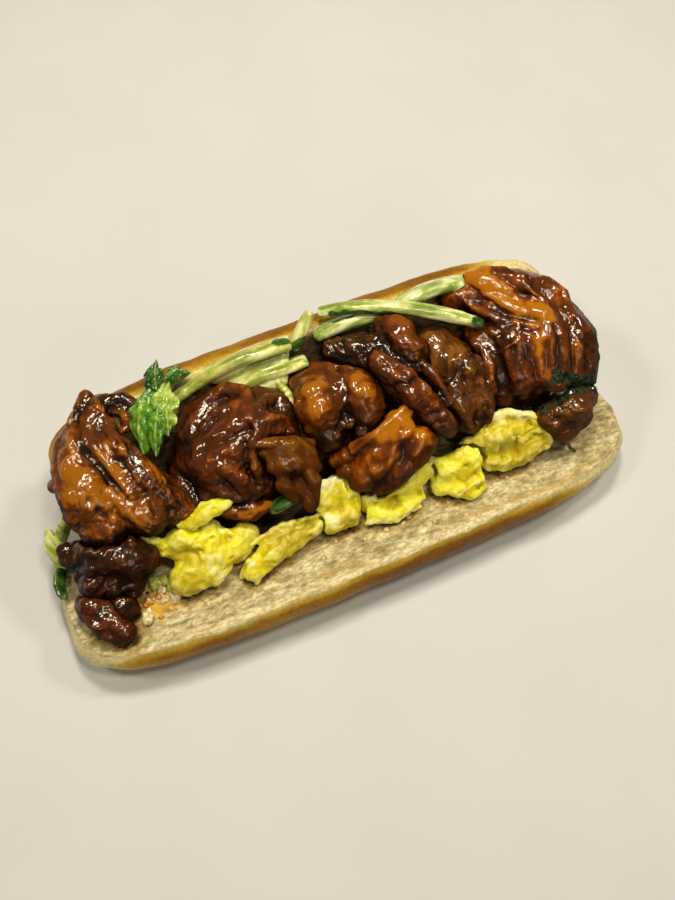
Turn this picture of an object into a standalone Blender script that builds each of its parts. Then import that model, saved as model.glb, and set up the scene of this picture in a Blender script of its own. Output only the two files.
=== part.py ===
"""A filled chicken sub: a soft roll opened on its hinge, with glazed chicken, scrambled egg and cucumber.

Numbers are millimetres until in_metres() turns them into the scene's metres.
+X runs along the roll, +Y towards the standing half of the roll, +Z up. The roll rests on Z = 0.
"""

import itertools
import math

import bmesh
import bpy
from mathutils import Matrix, Vector, noise
from mathutils.bvhtree import BVHTree

MM = 0.001

# The roll: one soft roll, sliced lengthwise and opened on the uncut edge.
HINGE = (7.0, 7.5)  # Y, Z of the uncut edge, where the two cut faces meet
NEAR_HALF = {"rim": (-36.0, 18.5), "ends": (-88.0, 92.0), "thickness": 20.0}
FAR_HALF = {"rim": (32.5, 40.5), "ends": (-76.0, 85.0), "thickness": 17.0}
HINGE_OVERLAP = 3.0  # how far each half runs past the hinge line into the other
END_SQUARENESS = 4.0  # superellipse power along the roll: its ends are blunt
SECTION_SQUARENESS = 2.4  # superellipse power across it
CRUST_BULGE = 3.5  # how far the crust swells out beyond the cut edge
HINGE_FOLD = [(-66, 11, 9, 8), (0, 13, 9, 9), (74, 11, 9, 8)]  # bread behind the hinge, as a strand
ROLL_TRIANGLES = 2400

VOXEL = 1.0  # grid that melts a piece's strands into one body
MOST_CUTS = 4  # rounds of cutting, until a piece is clear of its neighbours
GAP = 0.95  # clear space cut round a finished neighbour; thinning out uses up some of it

# Each piece of chicken is a knot of strands. A strand is a chain of (x, y, z, radius).
CHICKEN = {
    "chicken_flap": (
        [(-20, 3, 41, 2.4), (-13, 2, 41, 2.8), (-7, -1, 38, 2.4)],
        [(-19, -2, 39, 2.6), (-13, -3, 38, 3.0), (-8, -5, 35, 2.6)],
        [(-18, -7, 35, 2.6), (-13, -9, 32, 3.0), (-12, -14, 28, 2.4)],
    ),
    "chicken_lump": (
        [(-37, 12, 31, 8), (-32, 21, 31, 8), (-22, 23, 32, 8), (-12, 16, 32, 8)],
        [(-33, 8, 34, 9), (-22, 11, 36, 11), (-13, 9, 33, 7)],
        [(-36, 3, 28, 6.5), (-27, 0, 29, 7), (-19, 2, 28, 7)],
        [(-26, 10, 21, 12), (-20, 9, 20, 12)],
    ),
    "chicken_finger": (
        [(29, 26, 44, 4.5), (30, 20, 45, 5.5), (31, 13, 41, 5.5)],
        [(21, 14, 45, 4.0), (26, 4, 44, 4.8), (31, -4, 39, 4.6), (34, -9, 34, 3.8)],
        [(12, 25, 37, 4.5), (18, 22, 39, 5.5), (25, 18, 40, 6)],
        [(22, 16, 30, 8), (27, 8, 26, 8)],
    ),
    "chicken_nugget": (
        [(2, 18, 34, 7.5), (1, 10, 36, 8.5), (1, 4, 33, 6)],
        [(10, 17, 35, 7), (12, 10, 38, 7.5), (13, 4, 36, 5.5)],
        [(7, 12, 24, 10), (8, 6, 20, 9)],
    ),
    "chicken_slab": (
        [(6, -11, 27, 5), (13, -7, 33, 6), (20, -4, 37, 5)],
        [(10, -14, 25, 4.5), (18, -12, 30, 6), (25, -10, 34, 5)],
        [(12, -5, 22, 7), (20, -5, 23, 8)],
    ),
    "chicken_fold": (
        [(54, 28, 38, 6), (62, 26, 42, 6.5), (71, 21, 43, 6.5), (80, 14, 41, 6.5)],
        [(80, 12, 40, 6.5), (82, 2, 38, 6.5), (80, -8, 33, 5.5)],
        [(72, 13, 44, 4.8), (72, 3, 44, 4.8), (71, -7, 37, 5)],
        [(62, 16, 41, 5.2), (64, 5, 42, 5.5), (61, -4, 36, 5)],
        [(55, 14, 37, 5), (56, 4, 36, 5), (55, -4, 30, 4.5)],
        [(66, 14, 27, 11), (68, 2, 24, 11)],
    ),
    "chicken_middle": (
        [(41, 15, 37, 7), (43, 6, 37, 8), (40, -4, 31, 6.5)],
        [(48, 8, 36, 6), (48, -2, 33, 6), (44, -7, 28, 5)],
        [(41, 8, 26, 9), (41, 0, 21, 8)],
    ),
    "chicken_knob": (
        [(66, -16, 29, 4.5), (74, -17, 31, 5.5), (79, -14, 29, 4.8)],
        [(70, -19, 24, 5), (76, -16, 22, 6), (72, -12, 19, 6)],
    ),
    "chicken_wing": (
        [(-61, 33, 39, 4.6), (-67, 25, 38, 6.5), (-71, 13, 36, 8.5), (-69, 4, 31, 8.5)],
        [(-60, 30, 40, 3.2), (-59, 20, 40, 5), (-56, 9, 37, 6.5), (-57, 0, 33, 6.5)],
        [(-58, 12, 34, 5), (-51, 6, 34, 4.8), (-48, -1, 30, 4.8)],
        [(-64, 14, 27, 9), (-60, 6, 22, 9)],
        [(-58, 35, 38, 3.0), (-52, 33, 38, 2.6), (-49, 29, 36, 2.4), (-52, 25, 35, 2.4)],
    ),
    "chicken_end": (
        [(-81, -1, 26, 4), (-74, -5, 28, 6), (-66, -8, 28, 6.2), (-62, -10, 26, 4.5)],
        [(-77, -10, 22, 5.5), (-69, -10, 19, 6.5)],
    ),
    "chicken_scrap": (
        [(-82, -15, 21, 4), (-79, -21, 20, 4.8), (-75, -26, 19, 4)],
        [(-79, -13, 18, 4.2), (-73, -19, 17, 4.6)],
    ),
    "chicken_sliver": ([(-35, -6, 27, 2.4), (-29, -8, 27, 3.0), (-22, -8, 25, 2.4)],),
}

# The scrambled egg: soft curds, as strands too.
EGG = {
    "egg_petal": ([(-46, -6, 30, 2.2), (-41, -5, 32, 3.2), (-34, -5, 32, 2.2)],),
    "egg_cluster": (
        [(-53, -18, 19, 5.5), (-46, -18, 20, 5.5)],
        [(-58, -8, 23, 3), (-51, -9, 24, 5), (-43, -10, 23, 5.5)],
        [(-46, -14, 21, 6), (-40, -15, 20, 5.5), (-33, -13, 20, 4.5)],
        [(-47, -12, 16, 6), (-38, -12, 16, 5)],
    ),
    "egg_strip": (
        [(-32, -21, 19, 3.2), (-26, -20, 20, 4.4), (-18, -18, 20, 4.4), (-12, -18, 20, 3.2)],
        [(-35, -24, 18, 2.4), (-30, -24, 18, 2.4)],
    ),
    "egg_cube": (
        [(-7, -12, 22, 4.8), (-1, -11, 22, 4.8)],
        [(-7, -18, 19, 4.6), (-2, -18, 19, 4.6)],
        [(-5, -12, 16, 4), (-1, -13, 16, 4)],
    ),
    "egg_frill": (
        [(5, -17, 19, 3), (12, -17, 21, 3.6), (19, -17, 22, 3.8), (25, -16, 23, 3)],
        [(6, -22, 18, 2.4), (12, -23, 18, 2.8), (19, -22, 19, 2.8)],
        [(8, -18, 17, 3), (18, -17, 17, 3.6)],
    ),
    "egg_tuft": (
        [(26, -14, 21, 3), (32, -18, 22, 4.4), (39, -17, 23, 4.4)],
        [(28, -21, 19, 3), (34, -24, 19.5, 3), (40, -23, 20, 2.8)],
        [(32, -17, 17, 4), (37, -17, 17, 4)],
    ),
    "egg_mound": (
        [(41, -14, 23, 3.8), (48, -14, 25, 5.4), (56, -15, 25, 5)],
        [(47, -19, 20, 4.6), (54, -21, 20, 4.4), (61, -20, 21, 4.0)],
        [(46, -14, 17, 5), (56, -15, 18, 5)],
    ),
}

# A cucumber stick: the centre line's start, bow and end, then width, height and twist in degrees.
CUCUMBER = {
    "cucumber_long": ((11, 36, 44.6), (33, 27.5, 47), (55, 14, 44.5), 4.4, 3.2, 10),
    "cucumber_upright": ((0, 29, 41), (4, 32.5, 44), (8.5, 36, 47), 4.2, 3.4, 20),
    "cucumber_short": ((8, 30.5, 40.4), (17, 31, 42), (29, 28.5, 43), 4.6, 3.2, 25),
    "cucumber_wedge": ((30, 28.5, 39.5), (42, 31.5, 42), (57, 30, 42), 7.0, 3.2, 25),
    "cucumber_ribbon": ((-39, 30, 37), (-20, 32.5, 40.5), (2, 31.5, 41.5), 9.0, 2.6, 30),
    "cucumber_lower": ((-26, 26, 34), (-12, 26.5, 37), (3, 25.5, 38), 7.0, 2.6, 24),
    "cucumber_left": ((-75, 15, 21), (-82, 11, 14.5), (-86, 4.5, 12.5), 4.4, 2.2, 30),
    "cucumber_skin": ((-77, 4, 13.5), (-86.5, 0, 13), (-88, -9, 15), 4.4, 2.0, 20),
    "cucumber_bit": ((-23, -10, 27), (-18, -10, 29), (-13, -8, 28), 6.0, 2.6, 20),
}
LEAF = ((-36.8, 35, 46), (-45.2, 25.5, 46.5), (-49.5, 13.5, 38))  # midrib start, bow and end
LEAF_WIDTH = 16.0
LEAF_THICKNESS = 0.9

LOOKS = {
    "bread": ((0.56, 0.33, 0.13), 0.5),
    "glazed_chicken": ((0.16, 0.045, 0.008), 0.22),
    "scrambled_egg": ((0.84, 0.68, 0.05), 0.42),
    "cucumber": ((0.44, 0.50, 0.17), 0.3),
    "leaf": ((0.10, 0.24, 0.03), 0.35),
}


def in_metres(point):
    return Vector(point) * MM


def finish(obj, look, smooth_below=50):
    """Gives the piece its surface: a Principled BSDF with one colour and roughness."""
    colour, roughness = LOOKS[look]
    made = bpy.data.materials.get(look) or bpy.data.materials.new(look)
    made.use_nodes = True
    shader = made.node_tree.nodes["Principled BSDF"]
    shader.inputs["Base Color"].default_value = (*colour, 1)
    shader.inputs["Roughness"].default_value = roughness
    obj.data.materials.clear()
    obj.data.materials.append(made)
    obj.data.shade_smooth()
    obj.data.set_sharp_from_angle(angle=math.radians(smooth_below))


def new_object(name, bm, group):
    mesh = bpy.data.meshes.new(name)
    bm.to_mesh(mesh)
    bm.free()
    made = bpy.data.objects.new(name, mesh)
    group.objects.link(made)
    return made


def helper(obj):
    """Marks an object that only cuts or joins others."""
    obj.hide_render = True
    obj.display_type = "WIRE"
    return obj


def apply_modifiers(obj):
    graph = bpy.context.evaluated_depsgraph_get()
    mesh = bpy.data.meshes.new_from_object(obj.evaluated_get(graph))
    obj.modifiers.clear()
    obj.data = mesh


def melt(obj, voxel, smoothing=0):
    """Fuses whatever overlaps in the mesh into one skin on an even grid."""
    grid = obj.modifiers.new("melt", "REMESH")
    grid.mode = "VOXEL"
    grid.voxel_size = voxel * MM
    if smoothing:
        soften = obj.modifiers.new("soften", "SMOOTH")
        soften.factor = 0.5
        soften.iterations = smoothing
    apply_modifiers(obj)


def thin_out(obj, triangles):
    """Collapses the shortest edges until the mesh has about this many triangles."""
    have = sum(len(face.vertices) - 2 for face in obj.data.polygons)
    fewer = obj.modifiers.new("fewer", "DECIMATE")
    fewer.ratio = min(1.0, triangles / have)
    fewer.use_collapse_triangulate = True
    apply_modifiers(obj)


def boolean(obj, operation, other):
    step = obj.modifiers.new(operation.lower(), "BOOLEAN")
    step.operation = operation
    step.solver = "MANIFOLD"
    step.object = other
    apply_modifiers(obj)


def corners(mesh):
    points = [vert.co for vert in mesh.vertices]
    low = Vector(min(point[axis] for point in points) for axis in range(3))
    high = Vector(max(point[axis] for point in points) for axis in range(3))
    return low, high


def near(first, second):
    """Whether the boxes round two meshes meet."""
    (low_a, high_a), (low_b, high_b) = corners(first), corners(second)
    return all(low_a[i] < high_b[i] and low_b[i] < high_a[i] for i in range(3))


def grown(obj, group):
    """A copy of a finished piece, larger by the gap all round."""
    shell = bpy.data.objects.new("clear_" + obj.name, obj.data.copy())
    group.objects.link(helper(shell))
    grow = shell.modifiers.new("grow", "DISPLACE")
    grow.strength = GAP * MM
    grow.mid_level = 0.0
    apply_modifiers(shell)
    return shell


def tree_of(obj):
    bm = bmesh.new()
    bm.from_mesh(obj.data)
    tree = BVHTree.FromBMesh(bm)
    bm.free()
    return tree


def cut_clear(obj, shells, voxel, triangles):
    """Cuts the neighbours' clearance out of a piece, then evens and thins its skin."""
    for _ in range(MOST_CUTS):
        for shell in shells.values():
            if near(obj.data, shell.data):
                boolean(obj, "DIFFERENCE", shell)
        melt(obj, voxel, 1)
        keep_largest(obj)
        thin_out(obj, triangles)
        skin = tree_of(obj)
        if not any(skin.overlap(tree_of(other)) for other in shells):
            return


def keep_largest(obj):
    """Drops the loose scraps that a cut leaves."""
    bm = bmesh.new()
    bm.from_mesh(obj.data)
    unseen, islands = set(bm.verts), []
    while unseen:
        island, edge_of = set(), [next(iter(unseen))]
        while edge_of:
            vert = edge_of.pop()
            if vert not in island:
                island.add(vert)
                edge_of.extend(edge.other_vert(vert) for edge in vert.link_edges)
        unseen -= island
        islands.append(island)
    largest = max(islands, key=len)
    scraps = [vert for vert in bm.verts if vert not in largest]
    bmesh.ops.delete(bm, geom=scraps, context="VERTS")
    bm.to_mesh(obj.data)
    bm.free()


def crumple(mesh, height, size, seed):
    """Moves the skin in and out by smooth noise. Height and size of the lumps are in mm."""
    start = Vector((7.3, 3.1, 5.7)) * seed
    moves = [
        vert.normal * height * MM * noise.fractal(vert.co / (size * MM) + start, 0.9, 2.0, 3)
        for vert in mesh.vertices
    ]
    for vert, move in zip(mesh.vertices, moves):
        vert.co += move


def add_half_roll(bm, rim, ends, thickness):
    """Half a roll: a superellipsoid cut flat above its widest line, laid from the hinge to its rim."""
    hinge, rim = Vector(HINGE), Vector(rim)
    centre, half_length = (ends[0] + ends[1]) / 2, (ends[1] - ends[0]) / 2
    across = (rim - hinge).normalized()
    hinge = hinge - across * HINGE_OVERLAP
    middle, half_width = (hinge + rim) / 2, (rim - hinge).length / 2
    outward = Vector((across.y, -across.x)) * math.copysign(1, across.x)
    ball = bmesh.ops.create_uvsphere(bm, u_segments=56, v_segments=48, radius=1)["verts"]
    turn = Matrix.Rotation(math.pi / 2, 3, "Y")
    for vert in ball:
        along, width, depth = turn @ vert.co
        depth = max(depth, 0.0)
        ring = math.hypot(width, depth)
        if ring > 1e-6:
            power = SECTION_SQUARENESS
            swell = ring / (abs(width) ** power + depth**power) ** (1 / power)
            width, depth = width * swell, depth * swell
        reach = (abs(along) ** END_SQUARENESS + ring**END_SQUARENESS) ** (1 / END_SQUARENESS)
        along, width, depth = along / reach, width / reach, depth / reach
        swelling = CRUST_BULGE * 4 * depth * (1 - depth)
        y, z = middle + across * width * (half_width + swelling) + outward * depth * thickness
        vert.co = in_metres((centre + along * (half_length + swelling), y, z))


def make_roll(parts, cutters):
    bm = bmesh.new()
    add_half_roll(bm, **NEAR_HALF)
    add_half_roll(bm, **FAR_HALF)
    add_strand(bm, HINGE_FOLD)
    roll = new_object("roll", bm, parts)
    melt(roll, 1.2, 2)
    crumple(roll.data, 0.5, 14, 1)
    thin_out(roll, ROLL_TRIANGLES)
    bm = bmesh.new()
    bmesh.ops.create_cube(bm, size=0.3, matrix=Matrix.Translation((0, 0, -0.15)))
    floor = helper(new_object("floor_cut", bm, cutters))
    boolean(roll, "DIFFERENCE", floor)
    finish(roll, "bread")
    return roll


def add_strand(bm, strand):
    """A chain of balls joined by tapered links."""
    for *centre, radius in strand:
        place = Matrix.Translation(in_metres(centre))
        bmesh.ops.create_icosphere(bm, subdivisions=3, radius=radius * MM, matrix=place)
    for (*start, first), (*end, last) in zip(strand, strand[1:]):
        start, end = in_metres(start), in_metres(end)
        turn = (end - start).to_track_quat("Z", "Y").to_matrix().to_4x4()
        bmesh.ops.create_cone(
            bm,
            cap_ends=True,
            segments=20,
            radius1=first * MM,
            radius2=last * MM,
            depth=(end - start).length,
            matrix=Matrix.Translation((start + end) / 2) @ turn,
        )


def along_bow(start, bow, end, share):
    """The point at this share of a curve through three points, and its direction."""
    start, bow, end = in_metres(start), in_metres(bow), in_metres(end)
    handle = 2 * bow - (start + end) / 2
    point = start * (1 - share) ** 2 + handle * 2 * share * (1 - share) + end * share**2
    heading = (handle - start) * (1 - share) + (end - handle) * share
    return point, heading.normalized()


def across_frame(heading, twist):
    """Two directions square to the heading, turned about it by the twist in degrees."""
    side = heading.cross(Vector((0, 0, 1))).normalized()
    lift = side.cross(heading)
    angle = math.radians(twist)
    return side * math.cos(angle) + lift * math.sin(angle), lift * math.cos(angle) - side * math.sin(angle)


def make_stick(name, start, bow, end, width, height, twist, parts):
    """A cut stick of cucumber: a bar with broken edges, bent to its centre line."""
    bm = bmesh.new()
    bmesh.ops.create_cube(bm, size=1)
    long_edges = [e for e in bm.edges if abs(e.verts[0].co.x - e.verts[1].co.x) > 0.5]
    bmesh.ops.bevel(bm, geom=long_edges, offset=0.22, segments=1, affect="EDGES")
    long_edges = [e for e in bm.edges if abs(e.verts[0].co.x - e.verts[1].co.x) > 0.5]
    bmesh.ops.subdivide_edges(bm, edges=long_edges, cuts=9, use_grid_fill=True)
    for vert in bm.verts:
        share = vert.co.x + 0.5
        point, heading = along_bow(start, bow, end, share)
        side, lift = across_frame(heading, twist + 25 * math.sin(3 * share))
        slim = 1 - 0.35 * abs(2 * share - 1) ** 3
        vert.co = point + (side * vert.co.y * width + lift * vert.co.z * height) * MM * slim
    bmesh.ops.recalc_face_normals(bm, faces=bm.faces)
    bmesh.ops.triangulate(bm, faces=bm.faces)
    return new_object(name, bm, parts)


def make_leaf(parts):
    """A crinkled leaf: a wavy grid, narrowed to a leaf's outline and given thickness."""
    bm = bmesh.new()
    bmesh.ops.create_grid(bm, x_segments=13, y_segments=9, size=0.5)
    for vert in bm.verts:
        share, side_share = vert.co.x + 0.5, vert.co.y * 2
        point, heading = along_bow(*LEAF, share)
        side, lift = across_frame(heading, -18)
        outline = math.sin(math.pi * (0.12 + 0.80 * share)) ** 0.6
        ripple = math.sin(9 * share + 2) * side_share**2 * 1.6 + math.sin(17 * share) * side_share * 0.7
        arch = -2.0 * side_share**2
        reach = side_share * outline * LEAF_WIDTH / 2
        vert.co = point + (side * reach + lift * (ripple + arch)) * MM
    bmesh.ops.triangulate(bm, faces=bm.faces)
    leaf = new_object("leaf", bm, parts)
    thick = leaf.modifiers.new("thick", "SOLIDIFY")
    thick.thickness = LEAF_THICKNESS * MM
    thick.offset = 0
    apply_modifiers(leaf)
    return leaf


def make_morsel(name, strands, parts):
    """A soft piece: strands melted together and crumpled."""
    bm = bmesh.new()
    for strand in strands:
        add_strand(bm, strand)
    piece = new_object(name, bm, parts)
    melt(piece, VOXEL, 2)
    crumple(piece.data, 1.0, 6.0, len(name) + strands[0][0][0] * 0.1)
    return piece


def main():
    for obj in list(bpy.data.objects):
        bpy.data.objects.remove(obj)
    parts = bpy.data.collections.new("chicken_sub")
    cutters = bpy.data.collections.new("clearances")
    for group in (parts, cutters):
        bpy.context.scene.collection.children.link(group)
    shells = {}

    def done(piece, look):
        finish(piece, look)
        shells[piece] = grown(piece, cutters)

    done(make_roll(parts, cutters), "bread")
    done(make_leaf(parts), "leaf")
    for name, sizes in CUCUMBER.items():
        stick = make_stick(name, *sizes, parts)
        cut_clear(stick, shells, 0.55, 150)
        done(stick, "cucumber")
    for group, triangles, look in ((CHICKEN, 620, "glazed_chicken"), (EGG, 330, "scrambled_egg")):
        for name, strands in group.items():
            piece = make_morsel(name, strands, parts)
            cut_clear(piece, shells, 0.8, triangles)
            done(piece, look)
    trees = {obj.name: tree_of(obj) for obj in parts.objects}
    for first, second in itertools.combinations(trees, 2):
        crossings = trees[first].overlap(trees[second])
        if crossings:
            print(f"{first} crosses {second} at {len(crossings)} places")

    boxes = [corners(obj.data) for obj in parts.objects]
    low = Vector(min(box[0][axis] for box in boxes) for axis in range(3))
    high = Vector(max(box[1][axis] for box in boxes) for axis in range(3))
    centre = Vector(((low.x + high.x) / 2, (low.y + high.y) / 2, 0))
    for obj in parts.objects:
        obj.data.transform(Matrix.Translation(-centre))
    size, moved = (high - low) / MM, -centre / MM
    print(f"{size.x:.1f} x {size.y:.1f} x {size.z:.1f} mm, moved {moved.x:.2f} {moved.y:.2f} mm to centre")


main()
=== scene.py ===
# %% [markdown]
# # A filled chicken sub
#
# This notebook dresses a sub whose solids were built in another script. They set where each piece
# of food is and how large it is. Here every solid gets a fine skin, small relief, and a material
# built from nodes, until it looks like bread, glazed chicken, scrambled egg and cucumber.
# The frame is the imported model. Nothing in it is moved: each new piece takes the place of one solid.

import math
import random

import bmesh
import bpy
import numpy as np
from mathutils import Matrix, Vector, noise
from mathutils.bvhtree import BVHTree


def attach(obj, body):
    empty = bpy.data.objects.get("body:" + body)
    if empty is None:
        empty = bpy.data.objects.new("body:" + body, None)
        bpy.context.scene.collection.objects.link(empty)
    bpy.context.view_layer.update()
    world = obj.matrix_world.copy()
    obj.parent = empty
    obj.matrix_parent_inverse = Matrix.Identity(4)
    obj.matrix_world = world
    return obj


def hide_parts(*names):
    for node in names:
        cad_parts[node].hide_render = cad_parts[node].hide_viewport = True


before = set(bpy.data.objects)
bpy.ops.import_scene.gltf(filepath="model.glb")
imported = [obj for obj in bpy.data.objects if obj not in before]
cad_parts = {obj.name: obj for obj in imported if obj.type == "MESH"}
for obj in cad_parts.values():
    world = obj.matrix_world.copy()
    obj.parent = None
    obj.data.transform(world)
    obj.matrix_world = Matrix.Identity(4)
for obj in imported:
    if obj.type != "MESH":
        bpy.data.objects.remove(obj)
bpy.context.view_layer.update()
NOISE_SEED = 3
noise.seed_set(NOISE_SEED)  # without it the noise vectors differ in every run
MM = 0.001
print("solids:", len(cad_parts))

# %% [markdown]
# ## Camera and studio
#
# Food is often shot from a steep angle, so that the filling shows and the roll's side is only a thin
# band. The camera stands where a person who looks down into a lunch box would hold it. It is aimed at
# the middle of the sub, and a direction along the table says which way is up in the frame.

# %% Camera
CAMERA_PLACE = Vector((-0.0567, -0.0960, 0.3265))
CAMERA_AIM = Vector((0.0015, 0.001, 0.021))
UP_HEADING = math.radians(23.4)  # turned from +Y towards +X


def aimed(place, aim, up):
    """The matrix of a camera or a lamp at a place, looking at aim."""
    back = (place - aim).normalized()
    right = up.cross(back).normalized()
    turned = Matrix((right, back.cross(right), back)).transposed().to_4x4()
    turned.translation = place
    return turned


camera = bpy.data.objects.new("camera", bpy.data.cameras.new("camera"))
camera.data.lens = 42.5
camera.data.clip_start = 0.01
up_along_table = Vector((math.sin(UP_HEADING), math.cos(UP_HEADING), 0))
camera.matrix_world = aimed(CAMERA_PLACE, CAMERA_AIM, up_along_table)
bpy.context.scene.collection.objects.link(camera)
bpy.context.scene.camera = camera
print("camera is", round((CAMERA_PLACE - CAMERA_AIM).length * 1000), "mm from the sub")

# %% [markdown]
# Sticky glaze is judged by its highlights, so the lamps matter more here than on a matt object.
# A broad soft lamp behind the sub shapes each lump of chicken. Small lamps high above it, like the
# spots in a kitchen ceiling, draw crisp sparkles. The world stays dim, because a bright one would be
# mirrored everywhere and turn the dark glaze grey.


# %% Lights
def add_lamp(name, place, size, watts, colour):
    lamp = bpy.data.lights.new(name, "AREA")
    lamp.size, lamp.energy, lamp.color = size, watts, colour
    holder = bpy.data.objects.new(name, lamp)
    holder.matrix_world = aimed(Vector(place), Vector((0, 0, 0.02)), Vector((0, 1, 0.1)))
    bpy.context.scene.collection.objects.link(holder)


WARM = (1.0, 0.89, 0.66)
add_lamp("key", (0.04, 0.24, 0.66), 0.11, 2.4, WARM)
add_lamp("left_spot", (-0.32, 0.12, 0.56), 0.08, 0.85, WARM)
add_lamp("right_spot", (0.34, 0.10, 0.58), 0.08, 1.15, WARM)
add_lamp("top_spot", (0.10, -0.08, 0.80), 0.10, 1.6, WARM)
add_lamp("front_fill", (0.05, -0.55, 0.45), 0.30, 0.5, WARM)
world = bpy.data.worlds.new("studio")
world.use_nodes = True
world.node_tree.nodes["Background"].inputs["Color"].default_value = (1.0, 0.86, 0.58, 1)
world.node_tree.nodes["Background"].inputs["Strength"].default_value = 0.11
bpy.context.scene.world = world
bpy.context.scene.view_settings.view_transform = "Standard"

# %% [markdown]
# ## A short way to write materials
#
# A node material is a graph. Writing each node and link by hand is long, so one small class adds a
# node, sets its values by name and links whatever is given as another node's output.


# %% Node helper
class Nodes:
    """Builds one material's node graph."""

    def __init__(self, name):
        self.material = bpy.data.materials.new(name)
        self.material.use_nodes = True
        self.tree = self.material.node_tree
        self.shader = self.tree.nodes["Principled BSDF"]
        self.place = self.add("ShaderNodeTexCoord").outputs["Object"]

    def add(self, kind, settings=(), **inputs):
        node = self.tree.nodes.new(kind)
        for key, value in dict(settings).items():
            setattr(node, key, value)
        for key, value in inputs.items():
            self.put(node, key, value)
        return node

    def put(self, node, key, value):
        """Sets or links an input, by its name with _ for spaces, or by its number as in _1."""
        names = [socket.name.replace(" ", "_") for socket in node.inputs]
        socket = node.inputs[names.index(key)] if key in names else node.inputs[int(key[1:])]
        if isinstance(value, bpy.types.NodeSocket):
            self.tree.links.new(value, socket)
        else:
            socket.default_value = value

    def noise(self, per_mm, detail=3.0, rough=0.5, stretch=(1, 1, 1)):
        """Smooth noise with about this many lumps in a millimetre."""
        place = self.add("ShaderNodeMapping", Vector=self.place, Scale=stretch).outputs[0]
        made = self.add(
            "ShaderNodeTexNoise", Vector=place, Scale=per_mm * 1000, Detail=detail, Roughness=rough
        )
        return made.outputs["Fac"]

    def cells(self, per_mm, stretch=(1, 1, 1)):
        place = self.add("ShaderNodeMapping", Vector=self.place, Scale=stretch).outputs[0]
        return self.add("ShaderNodeTexVoronoi", Vector=place, Scale=per_mm * 1000).outputs["Distance"]

    def painted(self, name):
        """A number that was stored at each vertex."""
        return self.add("ShaderNodeAttribute", {"attribute_name": name}).outputs["Fac"]

    def ramp(self, value, *stops):
        """Turns a number into a colour. Each stop is (position, colour)."""
        node = self.add("ShaderNodeValToRGB", Fac=value)
        while len(node.color_ramp.elements) < len(stops):
            node.color_ramp.elements.new(0.5)
        for element, (position, colour) in zip(node.color_ramp.elements, stops):
            element.position, element.color = position, (*colour, 1)
        return node.outputs["Color"]

    def spread(self, value, low, high, to_low=0.0, to_high=1.0):
        """Maps low..high to to_low..to_high and clamps it."""
        node = self.add("ShaderNodeMapRange", {"interpolation_type": "SMOOTHSTEP"}, Value=value)
        for key, amount in zip(("_1", "_2", "_3", "_4"), (low, high, to_low, to_high)):
            self.put(node, key, amount)
        return node.outputs["Result"]

    def mix(self, share, first, second, how="MIX"):
        node = self.add("ShaderNodeMix", {"data_type": "RGBA", "blend_type": how})
        for socket, value in ((0, share), (6, first), (7, second)):
            if isinstance(value, bpy.types.NodeSocket):
                self.tree.links.new(value, node.inputs[socket])
            else:
                node.inputs[socket].default_value = value if socket == 0 else (*value, 1)
        return node.outputs[2]

    def darken(self, colour, share):
        """The colour, darker where the share is below 1."""
        grey = self.ramp(share, (0.0, (0.0, 0.0, 0.0)), (1.0, (1.0, 1.0, 1.0)))
        return self.mix(1.0, colour, grey, "MULTIPLY")

    def math(self, how, first, second=0.0):
        return self.add("ShaderNodeMath", {"operation": how}, _0=first, _1=second).outputs[0]

    def plus(self, first, second):
        return self.math("ADD", first, second)

    def minus(self, first, second):
        return self.math("SUBTRACT", first, second)

    def times(self, first, second):
        return self.math("MULTIPLY", first, second)

    def wobbled(self, value, noise, amount):
        """A painted number with an uneven edge: noise shifts it up and down by half the amount."""
        return self.plus(value, self.times(self.minus(noise, 0.5), amount))

    def bump(self, height, strength, depth_mm, under=None):
        node = self.add("ShaderNodeBump", Height=height, Strength=strength, Distance=depth_mm * MM)
        if under is not None:
            self.put(node, "Normal", under)
        return node.outputs["Normal"]

    def finish(self, **inputs):
        for key, value in inputs.items():
            self.put(self.shader, key, value)
        return self.material


# %% [markdown]
# ## From a coarse solid to a fine skin
#
# The solids have a few hundred triangles each, and food needs tens of thousands. A voxel remesh lays an
# even grid over a shape, whatever its old faces were, and it also fuses extra strands into it.
# A little smoothing then melts away the old facets. The relief is pushed in afterwards, vertex by vertex.
# Tens of thousands of vertices are slow to handle one at a time, so their places go into one array.


# %% Places and numbers of all vertices
def vertex_array(mesh, source="vertices", field="co"):
    values = np.empty(len(mesh.vertices) * 3, np.float32)
    getattr(mesh, source).foreach_get(field, values)
    return values.reshape(-1, 3).astype(float) / (MM if field == "co" else 1)


def store(mesh, name, values):
    """Keeps a number at each vertex, for the material to read."""
    layer = mesh.attributes.get(name) or mesh.attributes.new(name, "FLOAT", "POINT")
    layer.data.foreach_set("value", np.asarray(values, np.float32))


# %% [markdown]
# A strand is the simplest way to draw a fold, a finger or a curd: a path with a thickness. It's built
# as balls joined by tapered links. They overlap, which does no harm, because the remesh fuses them.


# %% Strands
def unit_ball():
    bm = bmesh.new()
    bmesh.ops.create_icosphere(bm, subdivisions=3, radius=1)
    corners = np.array([vert.co for vert in bm.verts])
    faces = [[vert.index for vert in face.verts] for face in bm.faces]
    bm.free()
    return corners, faces


BALL_CORNERS, BALL_FACES = unit_ball()
RING = 14  # corners round a link
TAPER = 0.7  # a strand's two ends, against its middle


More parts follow.
